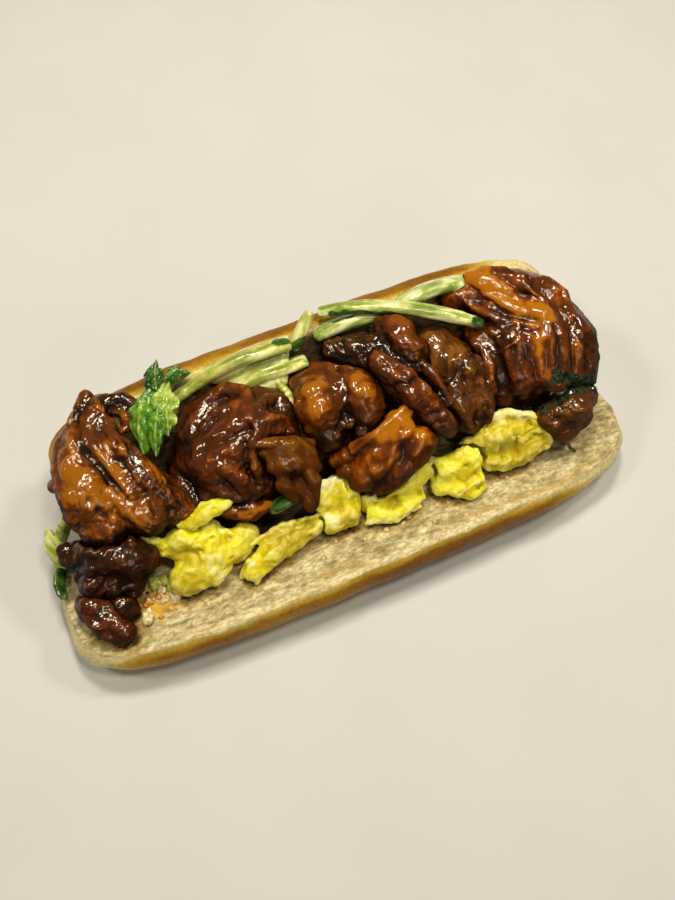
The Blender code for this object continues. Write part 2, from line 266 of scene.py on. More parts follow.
def strand_mesh(strands):
    """A mesh of strands. Each is (radius, path) in mm: a chain of balls joined by tapered links."""
    corners, faces, count = [], [], 0
    for radius, path in strands:
        path = np.array(path, float)
        radii = np.full(len(path), float(radius))
        if len(path) > 1:
            radii[[0, -1]] *= TAPER
        for centre, size in zip(path, radii):
            corners.append(centre + BALL_CORNERS * size)
            faces.extend([count + corner for corner in face] for face in BALL_FACES)
            count += len(BALL_CORNERS)
        for start, end, first, last in zip(path, path[1:], radii, radii[1:]):
            along = (end - start) / np.linalg.norm(end - start)
            side = np.cross(along, (0, 0, 1) if abs(along[2]) < 0.9 else (1, 0, 0))
            side /= np.linalg.norm(side)
            turns = np.linspace(0, 2 * math.pi, RING, endpoint=False)
            ring = np.outer(np.cos(turns), side) + np.outer(np.sin(turns), np.cross(along, side))
            corners += [start + ring * first, end + ring * last]
            for k in range(RING):
                after = (k + 1) % RING
                faces.append([count + after, count + k, count + RING + k, count + RING + after])
            faces.append(list(range(count, count + RING)))
            faces.append(list(range(count + 2 * RING - 1, count + RING - 1, -1)))
            count += 2 * RING
    mesh = bpy.data.meshes.new("strands")
    mesh.from_pydata(np.concatenate(corners) * MM, [], faces)
    return mesh


# %% Fusing into one skin
def object_from(name, bm):
    mesh = bpy.data.meshes.new(name)
    bm.to_mesh(mesh)
    bm.free()
    made = bpy.data.objects.new(name, mesh)
    bpy.context.scene.collection.objects.link(made)
    return made


def melt(obj, voxel, smoothing):
    """Fuses what overlaps into one skin on an even grid, and softens it."""
    grid = obj.modifiers.new("grid", "REMESH")
    grid.mode, grid.voxel_size = "VOXEL", voxel * MM
    soften = obj.modifiers.new("soften", "SMOOTH")
    soften.factor, soften.iterations = 0.5, smoothing
    graph = bpy.context.evaluated_depsgraph_get()
    obj.data = bpy.data.meshes.new_from_object(obj.evaluated_get(graph))
    obj.modifiers.clear()
    obj.data.shade_smooth()


def fine_skin(name, node, voxel, smoothing, strands=()):
    """A fine copy of one solid, with strands fused on."""
    bm = bmesh.new()
    bm.from_mesh(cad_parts[node].data)
    if strands:
        bm.from_mesh(strand_mesh(strands))
    made = object_from(name, bm)
    melt(made, voxel, smoothing)
    return made


# %% [markdown]
# Some strands only have to be there, as the fibres of torn meat are. They're dropped at random places on
# the solid and follow its surface along the grain. A seed makes the draw the same in every run.


# %% Random strands along the grain
def bundles(node, grain, count, length, thin, thick, seed):
    """Strands laid over a solid along its grain, half sunk into it.

    Without a grain each goes its own way.
    """
    mesh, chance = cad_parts[node].data, random.Random(seed)
    bm = bmesh.new()
    bm.from_mesh(mesh)
    tree = BVHTree.FromBMesh(bm)
    areas = [face.calc_area() for face in bm.faces]
    places = [face.calc_center_median() for face in bm.faces]
    bm.free()
    strands = []
    for place in chance.choices(places, areas, k=count):
        way = Vector(grain) if grain else Vector(chance.gauss(0, 1) for _ in range(3))
        way = (way.normalized() + Vector(chance.gauss(0, 0.25) for _ in range(3))).normalized()
        radius, path = chance.uniform(thin, thick), []
        for _ in range(4):
            place, normal, _, _ = tree.find_nearest(place)
            path.append(place / MM - normal * radius * 0.5)
            place = place + way * length / 3 * MM
        strands.append((radius, path))
    return strands


# %% Putting a piece in place of its solid
def dress(piece, node, material):
    """The piece takes the solid's place and gets its material."""
    piece.data.materials.clear()
    piece.data.materials.append(material)
    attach(piece, "root")
    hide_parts(node)


# %% [markdown]
# ## Strokes
#
# Noise makes a surface rich, but it doesn't know where the folds of this piece of meat run. Those are
# drawn as strokes: how wide a stroke works in millimetres, how strongly, and its path. One kind presses
# in a sharp crease, and the others paint. The paths were drawn from above, so a stroke reaches further
# in height than sideways.


# %% Creases and paint
FLATTENED = np.array((1.0, 1.0, 0.5))


def distance_to(points, path):
    """Distance in mm from each point to a path."""
    places, best = points * FLATTENED, np.full(len(points), np.inf)
    path = [np.array(step) * FLATTENED for step in path]
    for start, end in zip(path, path[1:] if len(path) > 1 else path):
        run = end - start
        share = np.clip((places - start) @ run / max(run @ run, 1e-9), 0, 1)
        best = np.minimum(best, np.linalg.norm(places - start - share[:, None] * run, axis=1))
    return best


def sharp(points, strokes):
    """Sharp creases, deepest right on the path."""
    total = np.zeros(len(points))
    for width, amount, path in strokes:
        total += amount * np.exp(-distance_to(points, path) / width)
    return total


def paint(points, strokes, edge=4):
    """The strongest stroke at each point. A higher edge number makes the stroke end more sharply."""
    total = np.zeros(len(points))
    for width, amount, path in strokes:
        total = np.maximum(total, amount * np.exp(-((distance_to(points, path) / width) ** edge)))
    return total


# %% [markdown]
# Noise still has a part. It shakes the strokes a little, since nothing in food is drawn with a ruler.
# Squeezed along the grain it also turns into long streaks, the fibres of meat and of cucumber.


# %% Shaking and streaks
def shaken(points, size, reach):
    """The points moved about by noise, so that what is drawn on them gets uneven edges."""
    return points + np.array([noise.noise_vector(Vector(p) / size) for p in points]) * reach


DRAWN_OUT = 0.84  # the share of a length along the grain that the noise doesn't see


def streaks(points, grain, size):
    """Noise drawn out along a grain, about -1 to 1. Across the grain it changes within the size in mm."""
    along = np.array(grain, float) / np.linalg.norm(grain)
    squeezed = points - np.outer(points @ along, along) * DRAWN_OUT
    return np.array([noise.fractal(Vector(place) / size, 0.8, 2.0, 3) for place in squeezed])


# %% [markdown]
# Sauce runs into valleys and gathers where two pieces touch, and shade falls in the same places, so
# both are painted darker there. Both can be measured on the mesh: a valley lies below the mean of its
# neighbours, and a search tree finds how near the next solid is.


# %% Hollows and near neighbours
def hollows(mesh, rounds):
    """How far each vertex lies below its surroundings, in mm. Ridges come out negative."""
    ends = np.empty(len(mesh.edges) * 2, np.int32)
    mesh.edges.foreach_get("vertices", ends)
    first, second = ends.reshape(-1, 2).T
    points = vertex_array(mesh)
    size = len(points)
    neighbours = np.bincount(first, minlength=size) + np.bincount(second, minlength=size)
    mean = points.copy()
    for _ in range(rounds):
        total = np.empty_like(mean)
        for axis in range(3):
            values = mean[:, axis]
            total[:, axis] = np.bincount(first, values[second], size)
            total[:, axis] += np.bincount(second, values[first], size)
        mean = total / neighbours[:, None]
    return ((mean - points) * vertex_array(mesh, "vertex_normals", "vector")).sum(axis=1)


def crowding(points, nodes, reach):
    """1 where another solid touches, falling to 0 at the reach in mm."""
    bm = bmesh.new()
    for node in nodes:
        bm.from_mesh(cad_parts[node].data)
    tree = BVHTree.FromBMesh(bm)
    bm.free()
    gaps = [tree.find_nearest(Vector(place) * MM, reach * MM)[3] for place in points]
    return np.array([0.0 if gap is None else 1 - gap / (reach * MM) for gap in gaps])


# %% Pushing the relief out
HIGHEST = 49.0  # mm, where the tallest tips start to be pressed down
PRESSED = 0.6  # what is left of a height above that


def push(piece, heights):
    """Moves each vertex along its normal by a height in mm, and presses the tallest tips down."""
    mesh = piece.data
    points = vertex_array(mesh) + vertex_array(mesh, "vertex_normals", "vector") * heights[:, None]
    points[:, 2] = np.minimum(points[:, 2], HIGHEST + (points[:, 2] - HIGHEST) * PRESSED)
    mesh.vertices.foreach_set("co", (points * MM).astype(np.float32).ravel())
    mesh.update()
    return points


# %% [markdown]
# ## The roll
#
# A soft roll has two surfaces. Where the knife went, the crumb is pale and torn into fine streaks that
# run along the roll. Outside there is a thin smooth crust, brown where the oven's heat reached it and
# cream at the ends, which stay soft because the rolls bake side by side. One mesh can carry both: a
# number stored at each vertex says how far it belongs to the cut, and the material mixes by it.
# The same way it carries the dark sauce under the filling, which is partly sauce soaking in and partly
# painted shade, and a few drips beside it.

# %% Cut faces
BREAD_GRID = 0.72  # mm between vertices
HINGE = np.array((0, 6.7, 7.5))
RIMS = {"near": np.array((0, -36.3, 18.5)), "far": np.array((0, 32.2, 40.5))}


def cut_faces():
    """The way that each cut face looks, square to the line from the hinge to its rim."""
    faces = {}
    for half, rim in RIMS.items():
        _, across, up = (rim - HINGE) / np.linalg.norm(rim - HINGE)
        faces[half] = np.array((0, -up, across)) * (1 if half == "far" else -1)
    return faces


# %% Crumb and crust relief
def crumb_relief(x, y, z):
    """Torn streaks and pores in mm, at a point in mm."""
    swell = noise.noise(Vector((x / 22, y / 9, z / 9))) * 0.9
    streak = noise.fractal(Vector((x / 6.5, y / 2.4, z / 2.4)), 0.6, 2.1, 3) * 0.42
    pore = noise.voronoi(Vector((x / 3.2, y / 1.7, z / 1.7 + 4)))[0][0]
    deep = max(0.0, noise.noise(Vector((x / 7, y / 4, z / 4 + 30))) + 0.15)
    return swell + streak - max(0.0, 0.40 - pore) * 2.6 * deep


def crust_relief(x, y, z):
    slow = noise.fractal(Vector((x / 18, y / 9, z / 9)), 1.0, 2.0, 2) * 0.4
    wrinkle = abs(noise.noise(Vector((x / 5.5, y / 1.9, z / 1.9 + 9)))) * -0.22
    return slow + wrinkle


# %% Drips, sauce and painted shade
# Drips on the open crumb, and dark sauce under the filling that is partly painted shade, as (width, strength,
# path) in mm.
STAINS = (
    (4.4, 1.0, [(-72, -19, 14), (-67, -20.5, 14), (-62, -21.5, 14)]),
    (1.3, 0.8, [(-63, -20, 15), (-62, -22, 15)]),
    (1.0, 0.6, [(-68, -27, 16), (-66, -28, 16)]),
    (1.2, 0.5, [(-8, -24, 15), (-4, -25, 15)]),
)
# Dark strokes under the filling and in the gaps between its pieces: sauce and painted shade.
SAUCE_AND_SHADE = (
    (8.0, 1.0, [(-56, 12, 14), (-47, 1, 9), (-30, -7, 11), (-8, -6, 11), (10, 2, 9), (40, 4, 9), (56, 8, 9)]),
    (7.0, 1.0, [(-54, 20, 24), (-40, 18, 22), (0, 18, 22), (30, 18, 22), (56, 18, 22)]),
    (4.0, 0.9, [(-38, -11, 12), (-22, -12.5, 12.5), (-12, -12.5, 12.5), (-2, -10, 12), (30, -11, 12)]),
    (6.5, 1.0, [(1, 28, 34), (9, 28, 34)]),
    (5.0, 1.0, [(33, 25, 31), (42, 25, 32), (52, 22, 29)]),
    (3.5, 0.8, [(28, -10, 12), (36, -10, 12), (44, -10, 12)]),
)
print("drips:", len(STAINS), "strokes of sauce:", len(SAUCE_AND_SHADE))


# %% Roll shape
def shape_roll():
    roll = fine_skin("roll_bread", "roll", BREAD_GRID, 4)
    points = vertex_array(roll.data)
    normals = vertex_array(roll.data, "vertex_normals", "vector")
    cut, depth = np.zeros(len(points)), np.full(len(points), 99.0)
    for facing in cut_faces().values():
        height = (points - HINGE) @ facing
        share = np.clip((normals @ facing - 0.40) / 0.4, 0, 1) * (np.abs(height) < 1.8)
        points -= np.outer(height * share, facing)
        cut = np.maximum(cut, share)
        depth = np.minimum(depth, np.abs(height))
    heights = np.array([
        share * crumb_relief(*place) + (1 - share) * crust_relief(*place)
        for share, place in zip(cut, points)
    ])
    points += normals * (heights * np.clip(points[:, 2] / 1.5, 0, 1))[:, None]
    points[:, 2] = np.maximum(points[:, 2], 0)
    roll.data.vertices.foreach_set("co", (points * MM).astype(np.float32).ravel())
    roll.data.update()
    store(roll.data, "cut", cut)
    store(roll.data, "below_cut", np.clip(depth / 8, 0, 1))
    store(roll.data, "hollow", np.clip(hollows(roll.data, 12) / 0.35, 0, 1))
    # Painted shade: the crumb is darkened under the sauce strokes and within 5 mm of the chicken and egg,
    # partly as sauce soaking in.
    filling = [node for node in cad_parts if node.startswith(("chicken", "egg"))]
    under_meat = paint(shaken(points, 4.0, 2.5), SAUCE_AND_SHADE)
    store(roll.data, "sauce_and_shade", np.maximum(crowding(points, filling, 5.0), under_meat))
    store(roll.data, "stain", paint(shaken(points, 3.0, 1.6), STAINS))
    rims = [np.linalg.norm((points - rim)[:, 1:], axis=1) for rim in RIMS.values()]
    store(roll.data, "near_rim", np.exp(-np.minimum(*rims) / 3.0))
    return roll


roll = shape_roll()
print("roll:", len(roll.data.polygons), "faces")


# %% [markdown]
# ## Colours of bread
#
# A crumb's colour is uneven at every size: long pale streaks where it tore, pores and hollows darkened as
# painted shade, a toasted rim whose very edge is paler, partly as a painted highlight.
# Its crust is a map of the oven's heat, which is least at the ends and just below the cut. Each has its
# own short function, and the material mixes the two and lays the sauce and the painted shade over both.


# %% Bread colours
def crumb_colour(n):
    """Pale streaks, with painted shade in pores and hollows, toasted near the rim, and paler at the rim's
    very edge, partly as a painted highlight.
    """
    crumb = n.ramp(
        n.noise(0.40, 6, 0.70, (0.45, 1, 1)),
        (0.37, (0.35, 0.30, 0.15)), (0.45, (0.50, 0.43, 0.23)), (0.54, (0.70, 0.61, 0.36)),
        (0.66, (0.90, 0.82, 0.57)),
    )
    # Paler at the rim's edge: partly the crumb's own edge, partly a painted highlight.
    crumb = n.mix(n.spread(n.painted("near_rim"), 0.3, 0.8, 0.0, 0.85), crumb, (0.90, 0.79, 0.50))
    fine_streaks = n.spread(n.noise(1.0, 5, 0.7, (0.5, 1, 1)), 0.40, 0.58, 0.62, 1.0)
    crumb = n.darken(crumb, fine_streaks)
    # Painted shade: dark pores, the shade inside the crumb's holes.
    pores = n.wobbled(n.cells(0.75, (0.6, 1, 1)), n.noise(0.25, 2), 1.2)
    crumb = n.mix(n.spread(pores, -0.05, 0.18, 0.55, 0.0), crumb, (0.30, 0.23, 0.10))
    # Painted shade: darker in hollows.
    crumb = n.mix(n.spread(n.painted("hollow"), 0.2, 1.0, 0.0, 0.6), crumb, (0.26, 0.19, 0.08))
    toast = n.spread(n.noise(0.40, 4, 0.6, (0.10, 1, 1)), 0.50, 0.62)
    toast = n.times(toast, n.spread(n.painted("near_rim"), 0.05, 0.35, 0.0, 0.55))
    return n.mix(toast, crumb, (0.52, 0.33, 0.07))


def crust_colour(n):
    """Golden brown by heat, cream at the ends, with small freckles."""
    along = n.add("ShaderNodeSeparateXYZ", Vector=n.place).outputs["X"]
    end = n.spread(n.math("ABSOLUTE", n.plus(along, 0.007)), 0.060, 0.088)
    heat = n.plus(n.noise(0.06, 4, 0.6, (0.35, 1, 1)), n.times(end, -0.60))
    heat = n.plus(heat, n.spread(n.painted("below_cut"), 0.04, 0.5, -0.36, 0.06))
    crust = n.ramp(
        heat,
        (0.08, (0.82, 0.71, 0.38)), (0.27, (0.66, 0.46, 0.07)), (0.42, (0.50, 0.30, 0.012)),
        (0.58, (0.30, 0.125, 0.002)), (0.78, (0.15, 0.06, 0.001)),
    )
    freckles = n.spread(n.noise(0.9, 4, 0.65), 0.35, 0.6, 0.72, 1.0)
    return n.darken(crust, freckles)


def sauce_and_shade_layer(n):
    """The sauce's colour, and where it lies. It's nearly black under and beside the meat, partly as sauce
    soaking in and partly as painted shade.
    """
    sauce_and_shade = n.wobbled(n.painted("sauce_and_shade"), n.noise(0.5, 4), 0.7)
    dripped = n.wobbled(n.painted("stain"), n.noise(0.8, 4), 0.7)
    stain_and_shade = n.spread(n.math("MAXIMUM", dripped, sauce_and_shade), 0.25, 0.85)
    sauce = n.ramp(n.noise(0.3, 3), (0.35, (0.40, 0.20, 0.008)), (0.65, (0.72, 0.46, 0.035)))
    # Nearly black where painted shade lies under and beside the filling.
    return n.mix(n.spread(sauce_and_shade, 0.35, 0.85), sauce, (0.035, 0.011, 0.001)), stain_and_shade


# %% Bread material
def bread_material():
    n = Nodes("bread")
    is_crumb = n.spread(n.wobbled(n.painted("cut"), n.noise(0.5, 4), 0.5), 0.3, 0.55)
    sauce, stain_and_shade = sauce_and_shade_layer(n)
    bread = n.mix(is_crumb, crust_colour(n), crumb_colour(n))
    # Drips, sauce and painted shade laid over the bread.
    bread = n.mix(n.times(stain_and_shade, 0.9), bread, sauce)
    fine = n.bump(n.noise(2.2, 4, 0.7, (0.5, 1, 1)), 0.45, 0.25)
    torn = n.bump(n.noise(0.8, 5, 0.7, (0.25, 1, 1)), n.spread(is_crumb, 0, 1, 0.12, 0.55), 0.5, fine)
    dry = n.spread(is_crumb, 0, 1, 0.46, 0.88)
    return n.finish(
        Base_Color=bread,
        Roughness=n.minus(dry, n.times(stain_and_shade, 0.35)),
        Normal=torn,
        Specular_IOR_Level=0.2,
        Subsurface_Weight=0.12,
        Subsurface_Radius=(0.003, 0.002, 0.001),
        Subsurface_Scale=1.0,
    )


dress(roll, "roll", bread_material())
print("nodes in the bread's material:", len(roll.data.materials[0].node_tree.nodes))

# %% [markdown]
# ## The chicken
#
# Glazed thigh meat is soft lumps with creases between them. Each piece below has its strands, which
# are fused on as folds and fingers, and its strokes: creases first, then where the glaze is thin enough
# to glow orange, where it is dark and thick, and where the skin is burnt. A bundle adds a few random
# strands along the grain: how many, how long, and from how thin to how thick. Noise adds the small
# folds that nobody would draw one by one, more where a piece is rough and streaky.
#
# At the left lies the largest piece. It was pulled apart, so long thick strands run down it, with deep
# creases between them. The two small dark pieces below it are shreds: many short strands, much noise.

# %% Wing, end and scrap
CHICKEN = {
    "chicken_wing": dict(
        streaky=1.3, grain=(0.2, -1, -0.15), bundle=(4, 12, 1.0, 1.6),
        strands=(
            (2.4, [(-67, 32, 41), (-74, 27, 37.5), (-77, 19, 39), (-78, 11, 40), (-78, 5, 37)]),
            (2.0, [(-65, 30, 42), (-66, 21, 42.5), (-64, 15, 41.5), (-62, 9, 41), (-60, 3, 39.5)]),
            (3.3, [(-59, 18, 41), (-55, 9, 39.5), (-53, 4, 36.5), (-51, -1, 33)]),
            (4.0, [(-72, 19, 40), (-72, 10, 40), (-69, 5, 38)]),
            (3.0, [(-66, 8, 39), (-63, 2, 37.5), (-61, -3, 35)]),
            (2.0, [(-59, 34, 40), (-54, 34, 39.5), (-50.5, 30, 38), (-52, 26, 38), (-56, 24, 40)]),
            (2.6, [(-66, 34, 41), (-63, 37, 41.5)]), (1.6, [(-70, 31, 41), (-68, 33, 42)]),
            (3.2, [(-77, 19, 30), (-81, 21, 25)]),
            (1.9, [(-58.5, 31.5, 38.5), (-54, 30.5, 38.3), (-55, 27.5, 37.5)]),
        ),
        creases=(
            (1.0, 1.1, [(-67, 33, 43), (-69, 24, 44), (-68, 18, 43), (-66, 13, 42), (-64, 7, 41)]),
            (1.1, 1.6, [(-62, 28, 42), (-62, 18, 44), (-60, 11, 43), (-58, 4, 42), (-56, -3, 38)]),
            (1.0, 0.7, [(-76, 14, 42), (-72, 7, 42), (-70, 1, 39)]),
            (0.9, 0.6, [(-68, 8, 42), (-66, 1, 40)]),
        ),
        orange=(
            (5.0, 0.95, [(-73, 18, 44), (-73, 11, 44), (-69, 6, 41), (-65, 2, 40), (-61, 0, 39)]),
            (2.0, 0.6, [(-71, 28, 43), (-73, 20, 43)]),
            (2.2, 0.8, [(-64, 20, 44), (-63, 14, 43), (-60, 7, 41)]),
            (2.4, 0.9, [(-58, 31, 41), (-54, 29, 41)]),
        ),
        dark=(
            (5.0, 1.0, [(-68, 36, 42), (-63, 36, 43), (-54, 33, 41)]),
            (3.6, 0.9, [(-59, 19, 43), (-55, 9, 42), (-52, 4, 39), (-50, -1, 35)]),
            (4.2, 0.9, [(-77, -3, 33), (-68, -6, 33), (-60, -6, 33)]),
            (2.6, 0.8, [(-80, 22, 28), (-80, 12, 36), (-81, 4, 34)]),
            (1.3, 0.6, [(-72, 7, 42), (-70, 1, 39)]),
            (1.4, 0.7, [(-70, 26, 44), (-68, 17, 43), (-65, 10, 42)]),
        ),
    ),
    "chicken_end": dict(
        rough=1.5, streaky=1.4, grain=None, bundle=(11, 4, 1.1, 2.0),
        strands=(
            (2.6, [(-84, -3, 26), (-79, -2, 27.5)]), (2.4, [(-83, -7, 24)]), (2.8, [(-80, -10.5, 25)]),
            (3.2, [(-73, -6, 31), (-68, -10, 30), (-63, -11.5, 27)]), (2.6, [(-76, -13.5, 23)]),
        ),
        creases=((1.0, 1.4, [(-86, -6, 28), (-78, -6, 30), (-74, -11, 29), (-66, -15, 26)]),),
    ),
    "chicken_scrap": dict(
        rough=1.5, streaky=1.4, grain=None, bundle=(12, 3, 0.8, 1.6),
        strands=(
            (2.4, [(-85, -16, 21), (-79, -19, 22.5)]), (2.8, [(-77, -25, 20), (-79, -28, 18)]),
            (2.0, [(-82, -20, 22)]),
        ),
        orange=((3.0, 0.6, [(-83, -18, 24), (-77, -25, 23)]),),
    ),
}
print("pieces of chicken at the left:", len(CHICKEN))

# %% [markdown]
# The big round lump is curled up on itself. Its strands run round it like the layers of a bud, and the
# creases meet at the top. A smoother flap hangs over its right side, and a thin sliver sticks out below.

# %% Lump, flap and sliver
CHICKEN |= {
    "chicken_lump": dict(
        grain=None, bundle=(11, 6, 0.8, 1.4),
        strands=(
            (2.3, [(-37, 20, 36), (-32, 24, 37), (-25, 25, 39), (-20, 21, 41.5), (-21, 16, 43.5)]),
            (2.0, [(-35, 16, 39.5), (-30, 18.5, 41.5), (-25, 16, 44)]),
            (2.2, [(-39, 11, 39), (-33, 11, 42.5), (-27, 12, 44.5)]),
            (2.0, [(-23, 9, 45), (-17, 10, 43), (-12, 10, 38)]),
            (2.1, [(-20, 14, 44), (-15, 17, 40), (-11, 16, 36)]),
            (3.0, [(-40, 6, 37), (-34, 3, 40), (-30, -2, 37)]),
            (1.9, [(-25, 6, 43), (-26, 0, 39.5), (-25, -4, 33)]),
            (2.2, [(-30, 6, 42), (-32, 0, 38.5), (-31, -5, 32)]),
            (2.2, [(-41, 3, 35), (-37, -1.5, 34.5), (-33, -5, 32)]), (2.0, [(-20, 7, 43.5), (-12, 6, 38)]),
            (3.0, [(-45, 15, 29), (-46.5, 7, 28.5), (-45, 0, 27.5), (-42, -4, 26)]),
        ),
        creases=(
            (0.9, 1.4, [(-24, 8, 46), (-30, 8, 44), (-38, 8, 41)]),
            (0.9, 1.5, [(-24, 8, 46), (-28, 2, 43), (-28, -2, 37)]),
            (0.9, 1.1, [(-24, 9, 46), (-25, 15, 44), (-30, 20, 41)]),
        ),
        orange=(
            (2.2, 0.6, [(-33, 1, 42), (-29, 0, 40)]), (1.8, 0.5, [(-28, 13, 46), (-24, 18, 44)]),
            (1.6, 0.5, [(-18, 10, 45), (-13, 10, 41)]),
        ),
        dark=(
            (3.0, 0.8, [(-38, 20, 37), (-42, 12, 37), (-43, 4, 32)]),
            (2.4, 0.7, [(-9, 18, 36), (-7, 8, 33)]),
        ),
    ),
    "chicken_flap": dict(
        rough=0.3, streaky=0.5, grain=(0.2, -1, -0.7), bundle=(1, 7, 0.8, 1.2),
        strands=(
            (2.0, [(-24, 4.5, 43.4), (-19, 3, 42.6), (-14, 2, 40.6), (-8, 0.5, 37.5)]),
            (2.6, [(-21.5, 2, 41), (-16, 0, 39.8), (-9, -2.5, 36)]),
            (2.8, [(-19, -2, 38), (-14, -4, 37), (-9, -5.5, 34)]),
            (2.4, [(-19, -3, 37.5), (-19, -8, 34), (-18, -11, 31)]),
            (2.4, [(-13, -3, 38), (-11, -9, 33.5), (-13, -14, 28)]),
        ),
        creases=((1.0, 0.9, [(-16, -3, 41), (-16, -9, 36)]),),
        orange=((5.0, 0.6, [(-20, 2, 43), (-14, -1, 40), (-10, -6, 36)]),),
        dark=((1.5, 0.8, [(-14, -16, 28), (-10, -14, 29)]),),
    ),
    "chicken_sliver": dict(
        grain=(1, 0, 0), bundle=(1, 4, 0.7, 1.0),
        strands=((2.4, [(-35, -7, 27.5), (-30, -8.5, 28), (-25, -9, 26.5)]),),
        orange=((1.2, 0.8, [(-35, -9, 29.5), (-30, -10.5, 29.5), (-25, -10.5, 28)]),),
        dark=((1.6, 0.9, [(-37, -6, 29), (-30, -6.5, 29), (-24, -7, 28)]),),
    ),
}

# %% [markdown]
# Two plain pieces lie in the middle, and light falls on them. They are smooth and rounded, so little
# noise and few strands are wanted. Most of their look is orange where the glaze is thin.

# %% Nugget and slab
CHICKEN |= {
    "chicken_nugget": dict(
        rough=0.7, streaky=0.4, grain=None, bundle=(2, 4, 1.2, 1.6),
        strands=(
            (4.6, [(3, 18, 37.5), (-2, 13, 40), (-3, 8, 40)]),
            (4.0, [(10, 14, 40), (12, 8, 41), (13, 4, 39)]), (2.4, [(0, 1, 36)]), (2.3, [(4, 2, 37.5)]),
            (2.4, [(8, -1, 35)]), (2.0, [(-6, 5, 37)]),
        ),
        creases=(
            (1.0, 2.0, [(8, 19, 41), (7, 11, 44), (6, 7, 43), (4, 1, 38)]),
            (0.9, 0.8, [(-6, 12, 42), (0, 11, 44), (5, 12, 44)]),
        ),
        orange=(
            (4.4, 0.6, [(2, 17, 42), (-2, 12, 43), (-2, 8, 43)]), (2.6, 1.1, [(-3, 13, 43), (-4, 8, 42)]),
            (2.6, 0.8, [(11, 12, 45), (12, 6, 43)]), (1.6, 0.7, [(0, 18, 42), (4, 17, 43)]),
        ),
        dark=((3.4, 1.0, [(-4, 1, 36), (2, 0, 36), (8, -1, 35)]), (1.8, 0.9, [(2, 4, 40), (6, 4, 40)])),
    ),
    "chicken_slab": dict(
        rough=0.3, streaky=0.6, grain=(0.3, 1, 0.6), bundle=(0, 8, 1.2, 1.6),
        strands=(
            (1.3, [(3, -5.5, 34), (10, -4.5, 38.3), (16, -3, 41.2), (21, -1, 42)]),
            (2.6, [(4, -4, 33), (11, -5, 36.8), (17, -4.5, 39.3), (22, -2, 40)]),
            (3.4, [(3, -9, 29.5), (8, -12, 31.5), (14, -11, 35)]), (3.0, [(20, -7, 37), (22, -11, 33)]),
            (2.6, [(5, -14, 28), (12, -15, 29)]), (2.8, [(6, -6, 31), (1.5, -4.5, 29.5), (-2, -4, 28)]),
            (2.8, [(6, -10, 29), (1, -8.5, 27.8), (-1, -7.5, 26.5)]),
        ),
        creases=(
            (0.9, 0.8, [(5, -7, 34), (12, -8, 38), (19, -7, 40)]),
            (0.9, 0.5, [(16, -10, 37), (17, -15, 32)]),
        ),
        orange=(
            (3.6, 1.1, [(12, -5, 40), (18, -3, 42), (21, -7, 40)]),
            (4.0, 0.5, [(4, -9, 31), (9, -11, 34), (14, -10, 37)]),
        ),
        dark=(
            (3.2, 0.8, [(17, -13, 34), (23, -13, 34)]), (3.0, 0.8, [(6, -17, 27), (14, -18, 27)]),
            (2.4, 0.5, [(-2, -5, 29)]),
        ),
    ),
}

# %% [markdown]
# The next two lie side by side. One is dark and knobbly and ends in two fingers, and the other is a
# wide tan piece with soft folds across it.

